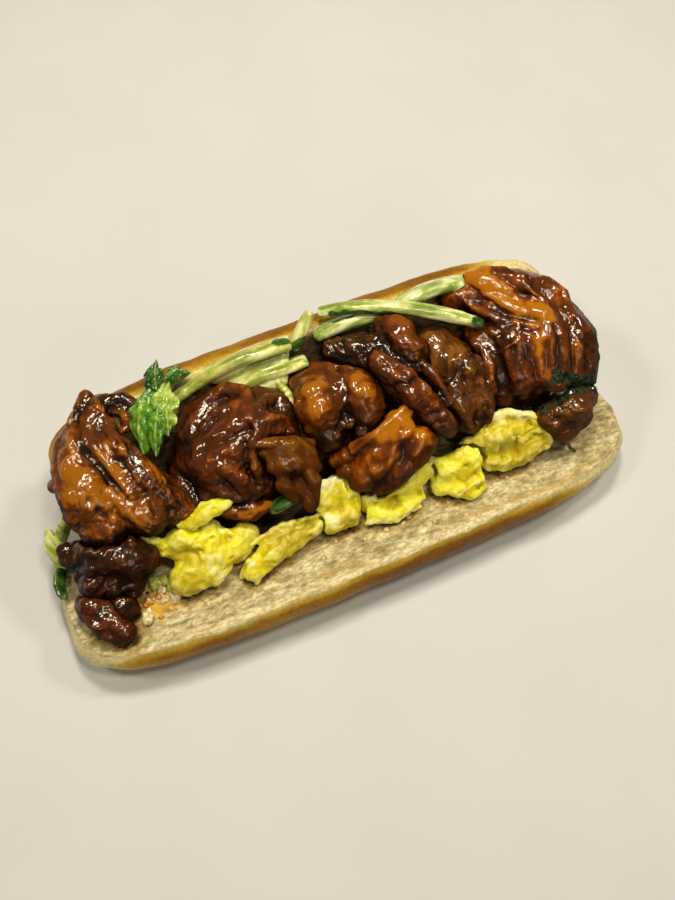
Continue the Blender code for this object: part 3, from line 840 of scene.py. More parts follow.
# %% Finger and middle
CHICKEN |= {
    "chicken_finger": dict(
        grain=(0.4, -1, -0.2), bundle=(6, 5, 0.9, 1.5),
        strands=(
            (2.4, [(19, 12, 47), (25, 7, 46), (28, 0, 44), (30, -6, 40), (32, -11, 34)]),
            (3.0, [(30, 24, 45), (28, 20, 47.3), (27, 16, 46.5)]), (2.2, [(25, 18, 45), (22, 14, 45)]),
            (2.6, [(19, 20, 43)]), (2.6, [(14, 22, 42)]), (2.3, [(9, 26, 40)]), (2.2, [(16, 17, 42)]),
            (2.2, [(29, 12, 44), (33, 5, 42), (35, -3, 38)]), (1.6, [(22, 10, 46), (26, 4, 44)]),
            (2.1, [(26.5, -0.5, 44.8), (29, -3.5, 43)]), (1.5, [(20, 9, 47.3), (20.5, 5, 46.5)]),
        ),
        creases=(
            (1.0, 1.6, [(22, 15, 47), (28, 9, 46), (31, 2, 45), (32, -5, 41)]),
            (1.0, 1.2, [(24, 22, 47), (23, 16, 47)]),
            (1.0, 1.5, [(19.5, 4, 47), (23, 3, 49), (27, 4.5, 47.5)]),
            (0.9, 1.2, [(26, -6, 43), (30, -6.5, 42)]),
        ),
        orange=(
            (2.6, 0.55, [(28, 22, 49), (28, 16, 49)]),
            (1.8, 0.5, [(20, 11, 49), (26, 5, 47), (29, -4, 43)]),
        ),
        dark=(
            (5.0, 1.1, [(7, 27, 40), (13, 22, 43), (19, 19, 45)]), (1.6, 0.6, [(24, 15, 47), (30, 7, 45)]),
            (1.2, 0.7, [(19.5, 4, 47), (23, 3, 49), (27, 4, 47.5)]),
        ),
    ),
    "chicken_middle": dict(
        rough=0.8, streaky=1.2, grain=(0.1, -1, -0.3), bundle=(1, 7, 1.3, 1.6),
        strands=(
            (4.2, [(37, 14, 39.5), (37, 8, 40)]), (4.0, [(41, 0, 39), (41, -6, 35)]),
            (2.6, [(46, 10, 38), (47, 0, 37)]), (2.6, [(44, 11, 39.8), (44, 7, 40.5)]),
            (2.2, [(36, 0, 39), (38, -6, 36.5), (39.5, -11, 32)]),
            (1.9, [(46, -1, 39), (47, -7, 35), (45.5, -11, 31)]),
        ),
        creases=(
            (1.1, 1.3, [(42, 15, 42), (40, 9, 43.5)]),
            (1.3, 1.8, [(34, 3, 41), (38, 2.5, 43), (42, 4.5, 43.5), (47, 8, 41.5)]),
            (1.0, 1.3, [(40, 1, 42.5), (41.5, -5, 39), (42, -10, 33)]),
        ),
        orange=((3.6, 0.9, [(39, 14, 43.5), (41, 9, 43.5)]), (2.4, 0.7, [(44, -1, 41), (43.5, -7, 36)])),
        dark=(
            (2.6, 0.8, [(33, 6, 38), (34, -8, 32)]), (2.4, 0.8, [(49, 2, 38), (46, -9, 30)]),
            (1.5, 0.9, [(34, 2, 41), (38, 1.5, 43), (42, 3.5, 43.5), (47, 7, 41)]),
        ),
    ),
}

# %% [markdown]
# At the right a wide piece is folded over. Thick columns run down its front, with a band of thin orange
# glaze above them. Its lower edge and the knob under it were burnt, which is the last kind of stroke.

# %% Fold and knob
CHICKEN |= {
    "chicken_fold": dict(
        rough=0.55, streaky=0.6, grain=(0.0, -1, -0.3), bundle=(1, 8, 1.0, 1.4),
        strands=(
            (3.4, [(56.5, 26, 44.2), (59.5, 20, 44.2), (63, 14.5, 44.2), (68, 9.5, 45)]),
            (3.2, [(60, 28, 43.6), (63, 22, 43.8), (67, 16, 44), (70, 11, 44.8)]),
            (1.9, [(51, 27, 42.5), (54, 21, 42.5), (58, 13.5, 44.5), (63, 9, 46), (68, 6, 46)]),
            (1.5, [(61, 30, 45.5), (66, 26.5, 47), (68, 21.5, 48), (70, 15.5, 47.8), (73, 12, 47)]),
            (2.6, [(67, 6, 45), (65, 0, 43), (64, -6, 38), (64, -8, 33)]),
            (3.2, [(77, 8, 43), (77, -2, 40.5), (75, -9, 36), (75, -11, 31)]),
            (2.2, [(82, 6, 38.5), (83.5, -2, 38), (81.5, -9, 34)]),
            (2.8, [(56, 11, 42), (57, 3, 42), (57, -3, 39), (59, -7, 32)]),
            (2.2, [(52, 12, 40), (51, 3, 39), (50, -3, 36)]),
            (0.7, [(53.6, 4.5, 41.4), (56, 4, 45), (58.7, 3.9, 46.5)]),
        ),
        creases=(
            (0.9, 1.5, [(54, 27, 46), (57, 19, 46), (61, 12, 46), (67, 7.5, 47)]),
            (0.9, 1.2, [(63, 26, 48), (66, 19, 48), (70, 13.5, 48)]),
            (1.5, 1.1, [(72, 5, 48), (71, 1, 47), (69.5, -3, 46), (68.5, -7, 42)]),
            (1.2, 0.5, [(81, 6, 42), (80.5, -3, 41), (79, -10, 37)]),
            (1.1, 0.8, [(62, 7, 46), (61, 0, 44), (61, -6, 38)]),
            (1.0, 0.7, [(54, 9, 43), (54, 2, 42), (54, -6, 36)]),
            (4.0, 1.6, [(75, 18, 44), (81, 14, 42), (86, 8, 38)]),
        ),
        orange=(
            (4.2, 1.25, [(57.5, 27, 48), (61, 20, 47), (65, 14.5, 47), (69.5, 9.5, 48)]),
            (2.0, 0.75, [(66, 6, 47), (65, 0, 45), (64, -6, 40)]),
            (3.0, 0.55, [(73, 12, 48), (78, 13, 47)]),
            (2.4, 0.35, [(75.5, 7, 46), (75.5, -3, 43), (74.5, -8, 38)]),
        ),
        dark=(
            (1.6, 0.6, [(50, 27, 43), (53, 21, 43), (57, 13, 45)]),
            (2.2, 1.0, [(65, 29, 46), (68.5, 24, 49), (71.5, 20, 49)]),
            (1.8, 0.8, [(71.5, 5, 48), (70.5, -1, 46), (69, -7, 43)]),
            (4.0, 1.0, [(85, 10, 38), (85, -2, 39), (82, -11, 34)]),
            (4.0, 0.8, [(80, 4, 44), (79.5, -4, 42), (79, -9, 38)]),
            (2.4, 0.9, [(56, 15, 46), (59, 11, 46), (62, 8, 46)]),
            (1.4, 0.6, [(60, 8, 45), (61, 0, 44), (61, -6, 38)]),
            (4.0, 0.6, [(56, 7, 44), (57, 0, 43), (56, -6, 37)]),
        ),
        burnt=((2.4, 1.0, [(65, -8, 34), (67, -9, 40), (73, -11, 36), (78, -12, 35), (83, -13, 32)]),),
    ),
    "chicken_knob": dict(
        grain=None, bundle=(3, 4, 1.2, 1.7),
        strands=(
            (3.0, [(67, -18, 31.5), (76, -17, 32)]), (2.6, [(66, -20, 27), (74, -20, 27)]),
            (2.3, [(66, -14.6, 32), (72, -14, 33.5), (79, -14, 32.5)]),
        ),
        creases=((1.0, 1.2, [(64, -19, 32), (70, -22, 30), (78, -20, 30)]),),
        orange=((3.0, 0.5, [(67, -19, 35), (72, -20, 34)]),),
        dark=((2.0, 0.7, [(80, -17, 30), (74, -22, 26)]),),
        burnt=((2.0, 1.0, [(63, -14, 32), (67, -13, 36), (73, -14, 36), (79, -14, 35), (82, -15, 31)]),),
    ),
}
print("pieces of chicken in all:", len(CHICKEN))

# %% [markdown]
# Now the pieces can be shaped. Each gets its relief first. Then everything that the material has to know
# is stored at its vertices: where strokes were painted, how deep a vertex lies, how steep it is, and how
# near the next piece is.


# %% Chicken shape
def meat_relief(place):
    """Small folds and wrinkles in mm. Some stretches of the skin stay smooth."""
    bent = place + noise.noise_vector(place / 8.0) * 3.0
    swell = noise.noise(place / 9.0 + Vector((3, 1, 4))) * 0.6
    creased = max(0.0, 0.35 + 1.4 * noise.noise(place / 8.0 + Vector((9, 2, 2))))
    folds = abs(noise.noise(bent / 4.4)) * 2.0 - 0.5
    small = abs(noise.noise(bent / 2.1)) * 2.0 - 0.4
    return swell + creased * (0.40 * folds + 0.34 * small) + 0.12 * noise.noise(bent / 0.9)


MEAT_GRID = 0.46  # mm between vertices
FIBRE_SIZE = 2.2  # mm across the grain
FIBRE_HEIGHT = 0.20  # mm
TOWARDS_LIGHT = np.array((-0.1, 0.15, 0.98))
FULL_CREASE = 0.10  # mm below its nearest surroundings, where a vertex counts as deep in a crease
FULL_VALLEY = 0.9  # mm, the same for wide valleys


def shape_chicken(node, grain, bundle, strands, creases=(), rough=1.0, streaky=1.0, **painted):
    """One piece of meat, with all the numbers that its material reads stored at its vertices."""
    strands = [*strands, *bundles(node, grain, *bundle, seed=len(node))]
    piece = fine_skin(node.replace("chicken", "meat"), node, MEAT_GRID, 3, strands)
    points = vertex_array(piece.data)
    relief = np.array([meat_relief(Vector(place)) for place in points])
    drawn_out = streaky * streaks(shaken(points, 9.0, 4.0), grain or (1, 0.5, 0), FIBRE_SIZE)
    relief = relief * rough + FIBRE_HEIGHT * drawn_out
    points = push(piece, 0.1 + relief - 1.0 * sharp(shaken(points, 4.0, 1.2), creases))
    store(piece.data, "streak", drawn_out)
    # Darker beside the next piece and the roll: partly glaze that gathers there, partly painted shade.
    neighbours = [other for other in CHICKEN if other != node] + ["roll"]
    store(piece.data, "seam_glaze_and_shade", crowding(points, neighbours, 4.0))
    # Painted light and shade: how far each face turns to the lamps. The material paints such faces paler and
    # steep sides darker.
    upward = vertex_array(piece.data, "vertex_normals", "vector") @ TOWARDS_LIGHT
    store(piece.data, "upward", np.clip(upward, 0, 1))
    drawn = shaken(points, 3.0, 1.8)
    for look in ("orange", "dark", "burnt"):
        store(piece.data, look, paint(drawn, painted.get(look, ()), 2.5))
    # Creases and valleys, painted darker: partly glaze that pools, partly painted shade.
    store(piece.data, "crease", np.clip(hollows(piece.data, 4) / FULL_CREASE, -1, 1))
    store(piece.data, "valley", np.clip(hollows(piece.data, 50) / FULL_VALLEY, -1, 1))
    return piece


# %% [markdown]
# A dark glaze is clear, so its colour depends on its depth. Where it is thin the meat glows orange
# through it. In creases, on steep sides and beside the next piece it is nearly black, partly from glaze
# that gathers there and partly as painted shade, and faces turned to the lamps are painted paler as
# painted light. The material works out both from what was painted, from how far each vertex lies in a
# valley and from how it faces. A clear coat on top gives the sparkles. It fades on steep sides, which
# would otherwise mirror the pale table.


# %% How deep the glaze is, with painted light and shade
def thin_glaze_and_lit_tops(n):
    """High where the meat glows through, and raised on faces turned to the lamps as painted light. Valleys
    and steep sides lower it as painted shade, and fibres streak it.
    """
    thin = n.wobbled(n.painted("orange"), n.noise(0.25, 4, 0.55), 1.3)
    thin = n.minus(thin, n.times(n.painted("valley"), 0.6))
    thin = n.plus(thin, n.times(n.painted("streak"), 0.55))
    # Painted light: the thin glaze counts more on faces turned to the lamps, less on steep sides.
    return n.times(thin, n.spread(n.painted("upward"), 0.2, 0.8, 0.35, 1.0))


def deep_glaze_and_shade(n):
    """High where the glaze gathers and where shade is painted: in valleys and creases, on steep sides and
    beside other pieces.
    """
    # Valleys, creases and seams: pooled glaze and painted shade.
    deep = n.plus(n.times(n.painted("valley"), 0.6), n.times(n.painted("crease"), 0.2))
    deep = n.plus(deep, n.painted("dark"))
    deep = n.plus(deep, n.painted("seam_glaze_and_shade"))
    # Painted shade: steep sides turned away from the lamps darker.
    deep = n.plus(deep, n.spread(n.painted("upward"), 0.05, 0.9, 0.75, 0.0))
    deep = n.minus(deep, n.times(n.painted("orange"), 0.5))
    deep = n.minus(deep, n.times(n.painted("streak"), 0.30))
    return n.wobbled(deep, n.noise(0.30, 5, 0.6), 0.7)


# %% Glaze material
def glaze_material(name, glow, meat, pooled_and_shaded, shine=1.0):
    """glow is the colour under a thin glaze, meat under the usual one, pooled_and_shaded where the glaze is
    deep and where shade is painted.
    """
    n = Nodes(name)
    ember = (0.40 * glow[0] + 0.45 * meat[0], 0.22 * glow[1] + 0.55 * meat[1], 0.001)
    colour = n.ramp(n.spread(thin_glaze_and_lit_tops(n), 0.0, 1.15), (0.05, meat), (0.45, ember), (0.95, glow))
    deep = deep_glaze_and_shade(n)
    garnet = tuple((red + dark) * 0.5 for red, dark in zip(meat, pooled_and_shaded))
    # Deep places go towards the dark colours: pooled glaze and painted shade.
    colour = n.mix(n.spread(deep, 0.0, 0.65), colour, garnet)
    colour = n.mix(n.spread(deep, 0.45, 1.25), colour, pooled_and_shaded)
    crust = n.spread(n.wobbled(n.painted("burnt"), n.noise(0.7, 4), 0.8), 0.35, 0.7)
    char = n.ramp(n.noise(0.6, 3), (0.4, (0.004, 0.006, 0.003)), (0.62, (0.03, 0.05, 0.022)))
    colour = n.mix(crust, colour, char)
    skin = n.bump(n.noise(0.7, 5, 0.62), 0.5, 0.40)
    lively = n.spread(n.noise(0.13, 2), 0.38, 0.62, 0.25, 0.55)
    wet = n.bump(n.noise(1.8, 3, 0.55), 0.25, 0.07, n.bump(n.noise(0.5, 4, 0.55), lively, 0.40))
    glossy = n.times(
        n.spread(n.painted("upward"), 0.45, 0.82, 0.10, 1.0),
        n.spread(n.noise(0.15, 3), 0.3, 0.6, 0.7 * shine, shine),
    )
    return n.finish(
        Base_Color=colour,
        Roughness=0.55,
        Normal=skin,
        Coat_Weight=glossy,
        Coat_Roughness=0.04,
        Coat_IOR=1.65,
        Coat_Normal=wet,
        Specular_IOR_Level=0.05,
        Subsurface_Weight=0.25,
        Subsurface_Radius=(0.0015, 0.0006, 0.0003),
        Subsurface_Scale=1.0,
    )


# %% [markdown]
# One batch of meat never takes the same colour. Eight shades, from pale orange to nearly black, go to the
# twelve pieces. Each names its glowing, its usual and its dark colour, used where glaze pools and where shade
# is painted.

# %% Chicken in its glaze
AMBER = dict(glow=(0.43, 0.150, 0.001), meat=(0.105, 0.024, 0.001), pooled_and_shaded=(0.016, 0.004, 0.001))
ORANGE = dict(glow=(0.32, 0.108, 0.001), meat=(0.110, 0.029, 0.001), pooled_and_shaded=(0.015, 0.004, 0.001))
BROWN = dict(glow=(0.22, 0.062, 0.004), meat=(0.072, 0.018, 0.002), pooled_and_shaded=(0.010, 0.003, 0.001))
CARAMEL = dict(glow=(0.36, 0.122, 0.001), meat=(0.085, 0.021, 0.001), pooled_and_shaded=(0.014, 0.004, 0.001))
RUST = dict(glow=(0.24, 0.072, 0.006), meat=(0.080, 0.019, 0.003), pooled_and_shaded=(0.014, 0.004, 0.002))
MAROON = dict(glow=(0.10, 0.026, 0.004), meat=(0.027, 0.006, 0.001), pooled_and_shaded=(0.007, 0.002, 0.001))
TAN = dict(glow=(0.20, 0.078, 0.009), meat=(0.085, 0.028, 0.003), pooled_and_shaded=(0.012, 0.004, 0.001))
OLIVE = dict(glow=(0.170, 0.062, 0.002), meat=(0.072, 0.023, 0.001), pooled_and_shaded=(0.012, 0.004, 0.001))
FINISHES = {
    "chicken_wing": ORANGE, "chicken_end": MAROON, "chicken_scrap": MAROON, "chicken_lump": RUST,
    "chicken_flap": dict(OLIVE, shine=0.4), "chicken_nugget": CARAMEL, "chicken_slab": AMBER,
    "chicken_finger": BROWN, "chicken_middle": TAN, "chicken_fold": AMBER, "chicken_knob": OLIVE,
    "chicken_sliver": CARAMEL,
}
for node, form in CHICKEN.items():
    piece = shape_chicken(node, **form)
    dress(piece, node, glaze_material("glaze_" + node[8:], **FINISHES[node]))
    print(piece.name, len(piece.data.polygons), "faces")

# %% [markdown]
# ## The scrambled egg
#
# Curds are rounder and softer than meat. They fold over each other, thin out to frilly rims, and keep
# small pits where steam escaped. White and yolk are only half mixed, so pale patches stay in the yellow.
# On the mound a pale strip along the top is a painted highlight, and painted light makes lit tops and
# sides of some curds paler.

# %% Egg at the left
EGG = {
    "egg_petal": dict(
        tone=0.95,
        strands=(
            (2.0, [(-51, -5.5, 30), (-47, -5, 31.5), (-41, -4.5, 32), (-36, -4, 31.5)]),
            (1.1, [(-50, -7, 30), (-44, -7.5, 32), (-38, -6.5, 32)]),
        ),
        creases=((0.9, 0.5, [(-48, -4, 33), (-41, -4, 35)]),),
    ),
    "egg_cluster": dict(
        tone=0.5,
        # Painted light: paler on the lit curds.
        painted_light=((4.0, 1.3, [(-48, -10, 27), (-41, -14, 25)]), (2.4, 0.8, [(-58, -7, 26)])),
        strands=(
            (1.8, [(-64, -4, 27), (-60, -6, 27), (-57, -8, 26)]), (4.4, [(-54, -10, 24.5), (-50, -9, 25)]),
            (4.2, [(-57, -17, 20.5), (-53, -19, 20)]),
            (1.4, [(-46, -8, 26), (-40, -11, 25), (-35, -15, 22.5)]), (2.6, [(-45, -17, 23)]),
            (2.0, [(-46, -22, 20), (-42, -20, 20)]), (1.5, [(-41, -14, 24), (-37, -17, 22)]),
        ),
        creases=(
            (1.0, 1.5, [(-61, -12, 24), (-55, -13, 27), (-48, -15, 27)]),
            (1.0, 1.0, [(-47, -7, 27), (-46, -13, 27), (-48, -20, 24)]),
        ),
        white_and_highlight=((3.2, 0.6, [(-46, -18, 25), (-45, -22, 22)]), (2.2, 0.7, [(-40, -10, 26)])),
    ),
    "egg_strip": dict(
        tone=0.35,
        # Painted light: the lit left end paler.
        painted_light=((5.0, 1.2, [(-34, -22, 20)]),),
        strands=(
            (1.3, [(-34, -24, 19), (-36.5, -27, 17)]), (1.2, [(-37, -21, 18), (-40, -23.5, 16.5)]),
            (1.3, [(-34, -17, 22), (-24, -15.5, 23), (-13, -16.5, 23)]),
            (1.2, [(-36, -24, 18.5), (-27, -22.5, 20.5), (-15, -21, 20)]),
        ),
        creases=((1.0, 1.6, [(-33, -21, 22), (-24, -19, 23), (-16, -19, 23)]),),
        white_and_highlight=((1.8, 0.7, [(-36, -22, 20)]),),
    ),
}

# %% [markdown]
# Further along, the curds are smaller and folded more, and each has patches of white. On the mound the pale
# strip along the top is a painted highlight.

# %% Egg in the middle and at the right
EGG |= {
    "egg_cube": dict(
        tone=0.7,
        strands=(
            (1.6, [(-2, -8, 24.5), (0.5, -13, 24), (0, -19, 21)]),
            (1.7, [(-8, -8.5, 24), (-10, -14, 23), (-9.5, -19, 21)]),
            (1.2, [(-8, -22, 18.5), (-3, -22, 18.5)]), (1.2, [(-8, -8, 24.5), (-2, -8, 25)]),
        ),
        creases=((1.1, 1.2, [(-4, -11, 26), (-5, -17, 24)]),),
        white_and_highlight=((2.6, 1.0, [(-7, -9, 25), (-4, -8, 25)]), (2.2, 1.0, [(-10, -18, 23), (-9, -20, 21)])),
    ),
    "egg_frill": dict(
        tone=1.15,
        strands=(
            (1.1, [(3, -18, 22), (11, -15.5, 24.5), (20, -15.5, 25), (26, -14.5, 24)]),
            (1.1, [(1, -23, 18), (10, -25.5, 18), (18, -24.5, 18.5)]),
            (0.9, [(5, -18, 22), (8, -23, 19.5)]), (1.0, [(12, -18, 23.5), (15, -23, 20)]),
            (0.9, [(20, -17, 24), (20, -23, 20)]), (0.9, [(1, -23, 18.5), (3, -18, 22)]),
        ),
        creases=(
            (1.2, 1.8, [(5, -20, 21)]), (1.3, 2.0, [(11, -21, 21), (12, -20, 22)]),
            (1.2, 1.6, [(18, -20, 23)]),
        ),
        white_and_highlight=(
            (1.2, 0.75, [(3, -18, 22), (11, -15.5, 24.5), (20, -15.5, 25)]),
            (1.2, 0.75, [(1, -23, 18), (10, -25.5, 18), (18, -24.5, 18.5)]),
        ),
    ),
    "egg_tuft": dict(
        tone=1.1,
        strands=(
            (1.5, [(25, -18, 20), (28, -24, 19.5), (34, -27.5, 18.5), (40, -26, 16.5)]),
            (2.4, [(32, -19.5, 23.5)]), (2.4, [(37, -18, 24.5)]), (1.6, [(26, -13.5, 23)]),
            (1.3, [(30, -16, 24), (35, -14.5, 24)]), (1.2, [(39, -21, 21)]),
        ),
        creases=(
            (1.2, 1.6, [(29, -21, 24), (34, -24, 22), (39, -23, 22)]),
            (1.0, 1.3, [(34, -17, 27), (35, -21, 25)]),
        ),
        white_and_highlight=((2.0, 0.8, [(26, -13, 24)]),),
    ),
    "egg_mound": dict(
        tone=0.45,
        # Painted light: paler along the lit top.
        painted_light=(
            (1.6, 0.9, [(42, -12, 26), (47, -10, 28.5), (53, -10.5, 29.5), (59, -14, 29), (62.5, -18, 27)]),
        ),
        strands=(
            (1.7, [
                (42, -12, 26), (47, -10, 28.5), (53, -10.5, 29.5), (59, -14, 29), (62.5, -18, 27),
                (63, -22, 23),
            ]),
            (2.6, [(44, -16, 26.5)]), (2.9, [(51, -16.5, 27.5)]), (2.7, [(58, -21.5, 22)]),
            (2.2, [(49, -22, 22)]), (2.0, [(54, -23.5, 21)]), (1.8, [(62, -22, 22)]),
            (2.0, [(56, -17, 27), (61, -18, 26)]),
        ),
        creases=(
            (1.0, 1.4, [(47, -20, 26), (50, -18.5, 28), (55, -19, 28), (61, -18, 29)]),
            (1.0, 1.0, [(47, -13, 30), (55, -14, 31), (60, -17, 30)]),
            (1.1, 2.0, [(53.5, -17.5, 29), (52, -20, 27), (51, -22.5, 23)]),
        ),
        # Painted highlight along the top rim.
        white_and_highlight=((1.9, 0.9, [(46, -10, 28.5), (53, -10.5, 30), (59, -14, 30)]),),
    ),
}
print("curds of egg:", len(EGG))


# %% Egg shape
def egg_relief(place):
    """Rounded curds with creases between them, a crumbly skin and a few steam pits, in mm."""
    bent = place + noise.noise_vector(place / 3.0) * 1.3
    swell = noise.noise(bent / 6.0) * 0.4
    large = 0.45 - noise.voronoi(bent / 3.6)[0][0]
    small = 0.45 - noise.voronoi(bent / 1.6 + Vector((7, 1, 3)))[0][0]
    crumbly = noise.fractal(place / 1.2, 0.6, 2.1, 2) * 0.10
    pits = max(0.0, noise.noise(place / 1.9 + Vector((4, 4, 4))) - 0.42) * 2.2
    return swell + 1.05 * large + 0.18 * small + crumbly - pits


EGG_GRID = 0.38  # mm between vertices


def shape_egg(node, tone, strands, creases, white_and_highlight=(), painted_light=()):
    piece = fine_skin(node.replace("egg", "curd"), node, EGG_GRID, 3, strands)
    points = vertex_array(piece.data)
    relief = np.array([egg_relief(Vector(place)) for place in points])
    drawn = shaken(points, 3.0, 0.9)
    push(piece, relief - 1.1 * sharp(drawn, creases))
    drawn = shaken(vertex_array(piece.data), 2.5, 1.8)
    # Pale strokes: white of egg, and painted highlights along the mound's top. The tone is raised where light
    # is painted on lit tops and sides.
    store(piece.data, "white_and_highlight", paint(drawn, white_and_highlight))
    store(piece.data, "tone", tone + 0.6 * paint(drawn, painted_light, 2))
    store(piece.data, "valley", np.clip(hollows(piece.data, 30) / 0.7, -1, 1))
    return piece


# %% Egg material
def egg_material():
    n = Nodes("scrambled_egg")
    yolk = n.ramp(
        n.noise(0.13, 4, 0.6),
        (0.34, (0.68, 0.57, 0.004)), (0.50, (0.82, 0.75, 0.006)), (0.66, (0.92, 0.90, 0.07)),
    )
    tone = n.spread(n.wobbled(n.painted("tone"), n.noise(0.1, 3), 1.2), 0.0, 1.0)
    yolk = n.mix(tone, (0.50, 0.40, 0.004), yolk)
    # Pale patches: white of egg, and painted highlights on the mound's top.
    pale = n.spread(n.wobbled(n.painted("white_and_highlight"), n.noise(0.45, 5, 0.65), 1.5), 0.30, 1.0)
    colour = n.mix(pale, yolk, (0.95, 0.92, 0.50))
    valley = n.painted("valley")
    # Painted shade: valleys darker olive.
    colour = n.mix(n.spread(valley, 0.05, 0.9, 0, 0.62), colour, (0.40, 0.31, 0.004))
    # Painted highlight: ridges paler.
    colour = n.mix(n.spread(valley, -0.15, -0.8, 0, 0.40), colour, (0.96, 0.93, 0.40))
    specks = n.plus(n.noise(0.55, 3, 0.6), n.times(valley, 0.14))
    colour = n.mix(n.spread(specks, 0.70, 0.78, 0, 0.6), colour, (0.36, 0.17, 0.006))
    return n.finish(
        Base_Color=colour,
        Roughness=n.spread(n.noise(0.6, 3), 0.3, 0.7, 0.35, 0.55),
        Normal=n.bump(n.noise(1.5, 4, 0.6), 0.35, 0.25),
        Coat_Weight=0.15,
        Coat_Roughness=0.15,
        Subsurface_Weight=0.45,
        Subsurface_Radius=(0.0025, 0.0020, 0.0006),
        Subsurface_Scale=1.0,
    )


egg = egg_material()
for node, form in EGG.items():
    piece = shape_egg(node, **form)
    dress(piece, node, egg)
    print(piece.name, len(piece.data.polygons), "faces")

# %% [markdown]
# ## The cucumber
#
# Cut cucumber is clear and wet. Its flesh is nearly white green, with darker threads along it, and the
# edge that was the outside keeps a strip of dark green skin.

# %% Cucumber pieces
def cucumber_fan(count):
    """Thin slices side by side. Each lies a little lower and further forward than the last."""
    slices = []
    for k in range(count):
        start = (-30 + 0.6 * k, 31.5 - 0.35 * k, 39.8 - 0.3 * k)
        middle = (-16, 32.4 - 0.95 * k, 41 - 0.5 * k)
        end = (-2.8 - 0.6 * k, 32.2 - 1.3 * k, 42 - 0.7 * k)
        slices.append((1.25, [start, middle, end]))
    return slices


CUCUMBER_GRID = 0.32  # mm between vertices
CUCUMBER = {
    "cucumber_long": dict(
        grain=(-41, 19, 2), tone=0.7, grow=0.25,
        rind=(
            (1.8, 1.0, [(53, 14, 44), (51, 15, 45)]), (0.9, 0.8, [(12, 33, 46), (25, 28, 47), (45, 16, 45)]),
        ),
    ),
    "cucumber_upright": dict(
        grain=(7, 9, 5), tone=0.35,
        rind=((1.6, 0.9, [(-1, 29, 42), (4, 29, 43)]), (0.8, 0.6, [(-2, 32, 42), (6, 38, 47)])),
    ),
    "cucumber_short": dict(rind=((1.1, 0.9, [(12, 31.5, 43), (26, 30, 44)]),), tone=0.75, grow=0.5),
    "cucumber_wedge": dict(rind=((1.4, 0.7, [(28, 26, 40), (54, 27, 42)]),), tone=0.9, grow=0.5),
    "cucumber_ribbon": dict(
        tone=0.25, grow=0.8,
        rind=(
            (2.2, 1.0, [(-42, 30, 37), (-35, 32, 40)]), (1.0, 0.5, [(-34, 33, 42), (-15, 34, 44)]),
            (1.8, 1.0, [(-6, 31, 43), (-1, 31, 43)]),
        ),
    ),
    "cucumber_lower": dict(
        rind=(), tone=0.4, grow=0.4,
        strands=[*cucumber_fan(10), (1.1, [(-10, 24, 37), (-8.2, 18, 37), (-8.4, 12, 35.5), (-9, 8, 33)])],
    ),
    "cucumber_left": dict(
        grain=(0.3, -1, 0.3), rind=(), tone=0.55, grow=0.2,
        strands=(
            (1.9, [(-88, 11, 16), (-88.6, 6, 17.3), (-87.5, 1, 19), (-84, -2.5, 21)]),
            (1.5, [(-86.5, 8, 17.3), (-85, 3, 19.5)]),
        ),
    ),
    "cucumber_skin": dict(grain=(-10, -12, 1), rind=((6.0, 1.0, [(-80, 3, 14), (-90, -9, 15)]),), tone=0.5),
    "cucumber_bit": dict(rind=((5.0, 0.85, [(-23, -10, 28), (-14, -9, 30)]),), tone=0.5),
}


# %% Cucumber shape
def shape_cucumber(node, rind, tone, strands=(), grow=0.0, grain=(1, 0.1, 0.1)):
    piece = fine_skin(node.replace("cucumber", "stick"), node, CUCUMBER_GRID, 2, strands)
    points = vertex_array(piece.data)
    threads = streaks(points, grain, 2.0)
    push(piece, grow + 0.16 * threads)
    store(piece.data, "thread", threads)
    drawn = shaken(points, 2.5, 0.6)
    store(piece.data, "rind", paint(drawn, rind))
    store(piece.data, "tone", np.full(len(points), tone))
    return piece


# %% Cucumber material
def cucumber_material():
    n = Nodes("cucumber_flesh")
    threads = n.plus(n.times(n.painted("thread"), 0.28), 0.5)
    threads = n.wobbled(threads, n.noise(0.3, 4, 0.6), 0.4)
    yellowish = n.ramp(
        threads, (0.34, (0.27, 0.30, 0.03)), (0.5, (0.52, 0.53, 0.10)), (0.64, (0.86, 0.84, 0.36))
    )
    greenish = n.ramp(
        threads, (0.34, (0.18, 0.30, 0.05)), (0.5, (0.42, 0.54, 0.17)), (0.64, (0.78, 0.86, 0.50))
    )
    flesh = n.mix(n.painted("tone"), yellowish, greenish)
    skin = n.spread(n.wobbled(n.painted("rind"), n.noise(0.6, 3), 0.5), 0.4, 0.7)
    peel = n.ramp(n.noise(0.5, 3), (0.35, (0.012, 0.05, 0.006)), (0.65, (0.06, 0.16, 0.02)))
    return n.finish(
        Base_Color=n.mix(skin, flesh, peel),
        Roughness=n.spread(n.noise(0.5, 2), 0.3, 0.7, 0.18, 0.36),
        Normal=n.bump(n.noise(0.9, 4, 0.6), 0.35, 0.22),
        Coat_Weight=0.5,
        Coat_Roughness=0.08,
        Subsurface_Weight=0.45,
        Subsurface_Radius=(0.003, 0.004, 0.0015),
        Subsurface_Scale=1.0,
    )


cucumber = cucumber_material()
for node, form in CUCUMBER.items():
    piece = shape_cucumber(node, **form)
    dress(piece, node, cucumber)
print("cucumber sticks:", len(CUCUMBER))

# %% [markdown]
# ## The leaf
#
# The leaf is a sprig of crinkled blades. Each is a grid bent along its midrib, narrowed to a lobed
# outline, rippled more towards its edges, and given a thickness of half a millimetre.

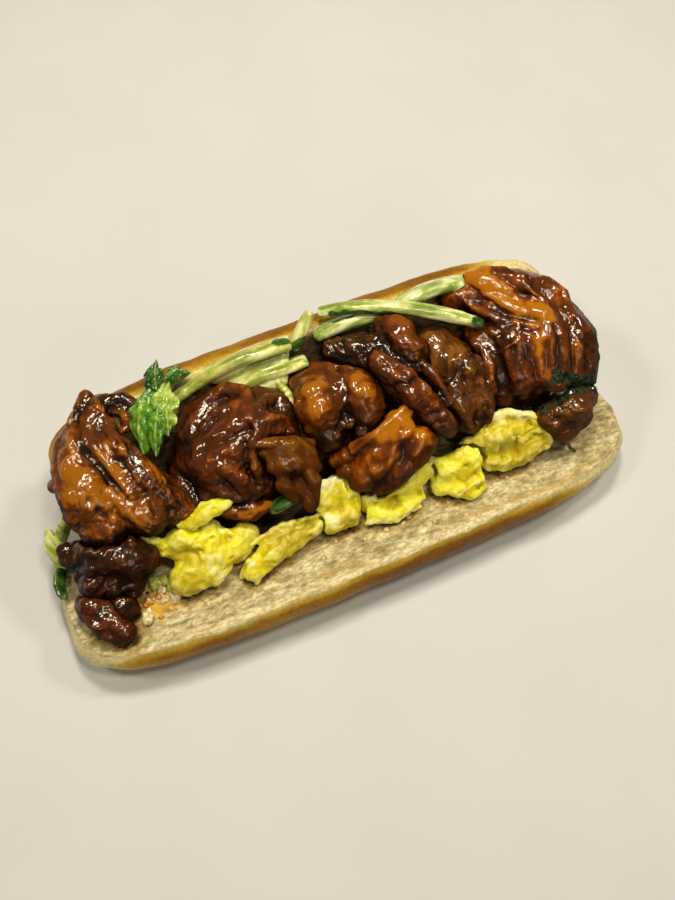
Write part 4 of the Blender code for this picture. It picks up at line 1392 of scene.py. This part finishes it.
# %% Blades
BLADES = (
    # midrib start, bow and end, width, turn in degrees, tone from dark to pale
    ((-42, 31, 46), (-50, 25, 47.5), (-53.5, 14, 42), 7.8, -24, 0.36),
    ((-42, 28, 46), (-47, 20, 48.5), (-50.5, 12.5, 42), 6.4, 4, 0.42),
    ((-40, 30, 46), (-43, 23, 48.5), (-45.5, 16, 44), 7.2, 22, 0.72),
    ((-44, 28, 47.5), (-43, 32, 49), (-41, 37, 47.5), 5.4, -14, 0.12),
    ((-41, 31, 47), (-37, 32.5, 47), (-33, 31.5, 44.5), 4.6, 8, 0.18),
)
LEAF_THICKNESS = 0.5


def add_blade(bm, start, bow, end, width, turn, tone, seed):
    start, bow, end = Vector(start), Vector(bow), Vector(end)
    handle = 2 * bow - (start + end) / 2
    grid = bmesh.ops.create_grid(bm, x_segments=70, y_segments=36, size=0.5)["verts"]
    shift = Vector((seed * 7.1, seed * 3.3, 0))
    rib, layer = bm.verts.layers.float["rib"], bm.verts.layers.float["tone"]
    for vert in grid:
        share, side_share = vert.co.x + 0.5, vert.co.y * 2
        point = start * (1 - share) ** 2 + handle * 2 * share * (1 - share) + end * share**2
        heading = ((handle - start) * (1 - share) + (end - handle) * share).normalized()
        side = heading.cross(Vector((0, 0, 1))).normalized()
        lift = side.cross(heading)
        angle = math.radians(turn)
        turned = side * math.cos(angle) + lift * math.sin(angle)
        lift = lift * math.cos(angle) - side * math.sin(angle)
        outline = math.sin(math.pi * (0.05 + 0.93 * share)) ** 0.7
        outline *= 0.78 + 0.34 * abs(math.sin(7 * share + seed))
        ripple = noise.noise(Vector((share * 5, side_share * 1.2, 0)) + shift) * 3.4 * abs(side_share) ** 1.3
        ripple += noise.noise(Vector((share * 11, side_share * 3, 2)) + shift) * 0.8
        branches = math.cos(26 * share - 9 * abs(side_share))
        veins = 0.45 * math.exp(-abs(side_share) * 9) + 0.10 * branches
        cupped = -1.6 * side_share**2
        reach = side_share * outline * width / 2
        vert.co = (point + turned * reach + lift * (ripple + veins + cupped)) * MM
        vert[rib] = max(math.exp(-abs(side_share) * 8), 0.5 * branches**9 * (1 - abs(side_share)))
        vert[layer] = tone


# %% Leaf
def make_leaf():
    bm = bmesh.new()
    bm.verts.layers.float.new("rib")
    bm.verts.layers.float.new("tone")
    for seed, blade in enumerate(BLADES):
        add_blade(bm, *blade, seed)
    leaf = object_from("crinkled_leaf", bm)
    thick = leaf.modifiers.new("thick", "SOLIDIFY")
    thick.thickness, thick.offset = LEAF_THICKNESS * MM, 0
    graph = bpy.context.evaluated_depsgraph_get()
    leaf.data = bpy.data.meshes.new_from_object(leaf.evaluated_get(graph))
    leaf.modifiers.clear()
    leaf.data.shade_smooth()
    return leaf


# %% Leaf material
def leaf_material():
    n = Nodes("green_leaf")
    tone = n.wobbled(n.painted("tone"), n.noise(0.25, 4, 0.6), 1.3)
    colour = n.ramp(
        tone,
        (0.05, (0.010, 0.060, 0.004)), (0.35, (0.07, 0.23, 0.010)), (0.60, (0.22, 0.42, 0.025)),
        (0.95, (0.55, 0.68, 0.16)),
    )
    rib = n.spread(n.painted("rib"), 0.35, 1.0, 0.0, 0.40)
    colour = n.mix(rib, colour, (0.48, 0.62, 0.14))
    return n.finish(
        Base_Color=colour, Roughness=0.26, Normal=n.bump(n.noise(0.8, 4), 0.4, 0.4),
        Coat_Weight=0.9, Coat_Roughness=0.08, Subsurface_Weight=0.2,
        Subsurface_Radius=(0.002, 0.003, 0.001), Subsurface_Scale=1.0,
    )


leaf = make_leaf()
dress(leaf, "leaf", leaf_material())
print("leaf:", len(leaf.data.polygons), "faces")

# %% [markdown]
# ## Small things on the bread
#
# Tearing a roll open leaves crumbs, and the sauce carries bits of onion and fried crust with it. They
# are balls of noise of different sizes, dropped onto the bread with a ray from above.

# %% Dropping bits on the bread
bread_top = BVHTree.FromObject(roll, bpy.context.evaluated_depsgraph_get())


def add_bit(bm, x, y, radius, flatness, seed):
    """An uneven bit that rests on the bread at x, y in mm."""
    found, normal, _, _ = bread_top.ray_cast(Vector((x, y, 200)) * MM, Vector((0, 0, -1)))
    if found is None:
        return
    made = bmesh.ops.create_icosphere(bm, subdivisions=3, radius=radius * MM)["verts"]
    for vert in made:
        bent = noise.fractal(vert.co / (radius * MM) + Vector((seed, 2 * seed, 5)), 0.7, 2.0, 3)
        vert.co *= 1 + 0.55 * bent
        vert.co.z *= flatness
        vert.co += found + normal * radius * 0.35 * flatness * MM


def scatter(name, spots, count, reach, sizes, node, material, seed):
    """Bits round the given spots, in one mesh."""
    chance, bm = random.Random(seed), bmesh.new()
    for number in range(count):
        x, y = chance.choice(spots)
        radius = chance.uniform(*sizes)
        x += chance.gauss(0, reach)
        y += chance.gauss(0, reach * 0.6)
        add_bit(bm, x, y, radius, chance.uniform(0.5, 0.9), number)
    made = object_from(name, bm)
    made.data.shade_smooth()
    dress(made, node, material)


def plain_bits(name, dark, pale, roughness):
    """A material for bits that are too small to need more than two mixed colours."""
    n = Nodes(name)
    return n.finish(
        Base_Color=n.ramp(n.noise(0.9, 3), (0.4, dark), (0.6, pale)), Roughness=roughness,
        Normal=n.bump(n.noise(2.5, 3), 0.4, 0.2), Coat_Weight=0.3, Coat_Roughness=0.12,
    )


# %% Crumbs, onion, crisp bits, shreds and herbs
along_egg = [(-40, -27), (-20, -26), (0, -26), (15, -28), (30, -30), (50, -27), (70, -26), (-55, -28)]
scatter("bread_crumbs", along_egg, 46, 5.0, (0.25, 0.75), "roll",
        plain_bits("crumb_bits", (0.50, 0.36, 0.15), (0.74, 0.60, 0.32), 0.8), 3)
scatter("onion_bits", [(-68, -22), (-64, -20), (-62, -22)], 12, 1.7, (0.8, 1.9), "roll",
        plain_bits("onion", (0.62, 0.42, 0.16), (0.82, 0.74, 0.55), 0.35), 5)
scatter("crisp_bits", [(-70, -20), (-63, -20), (-66, -26)], 7, 1.8, (0.7, 1.4), "roll",
        plain_bits("crisp", (0.30, 0.11, 0.015), (0.60, 0.30, 0.05), 0.3), 8)
scatter("cucumber_shreds", [(-63, -15.5), (-60.5, -17)], 5, 1.2, (1.3, 2.2), "roll",
        plain_bits("shredded_cucumber", (0.34, 0.38, 0.05), (0.58, 0.62, 0.16), 0.3), 11)
scatter("herb_bits", [(-67, -16), (-46, -14), (8, -20)], 4, 1.0, (0.4, 0.8), "roll",
        plain_bits("herb", (0.004, 0.008, 0.003), (0.02, 0.05, 0.012), 0.35), 4)

# %% Burnt curl
bm = bmesh.new()
bm.from_mesh(strand_mesh([(0.6, [(66, -21, 29), (67.5, -23.5, 24), (69.5, -25.5, 19), (71.5, -26.3, 16.4)])]))
curl = object_from("burnt_curl", bm)
melt(curl, 0.15, 3)
char = plain_bits("char", (0.006, 0.004, 0.003), (0.03, 0.012, 0.006), 0.35)
dress(curl, "chicken_knob", char)

# %% [markdown]
# ## The table
#
# A plain pale surface, so that nothing takes the eye from the food.

# %% Floor
bm = bmesh.new()
bmesh.ops.create_grid(bm, x_segments=2, y_segments=2, size=1.5)
floor = object_from("table", bm)
paint_nodes = Nodes("table_paint")
pale = paint_nodes.ramp(paint_nodes.noise(0.02, 3), (0.3, (0.62, 0.65, 0.73)), (0.7, (0.65, 0.68, 0.76)))
floor.data.materials.append(paint_nodes.finish(Base_Color=pale, Roughness=0.7))
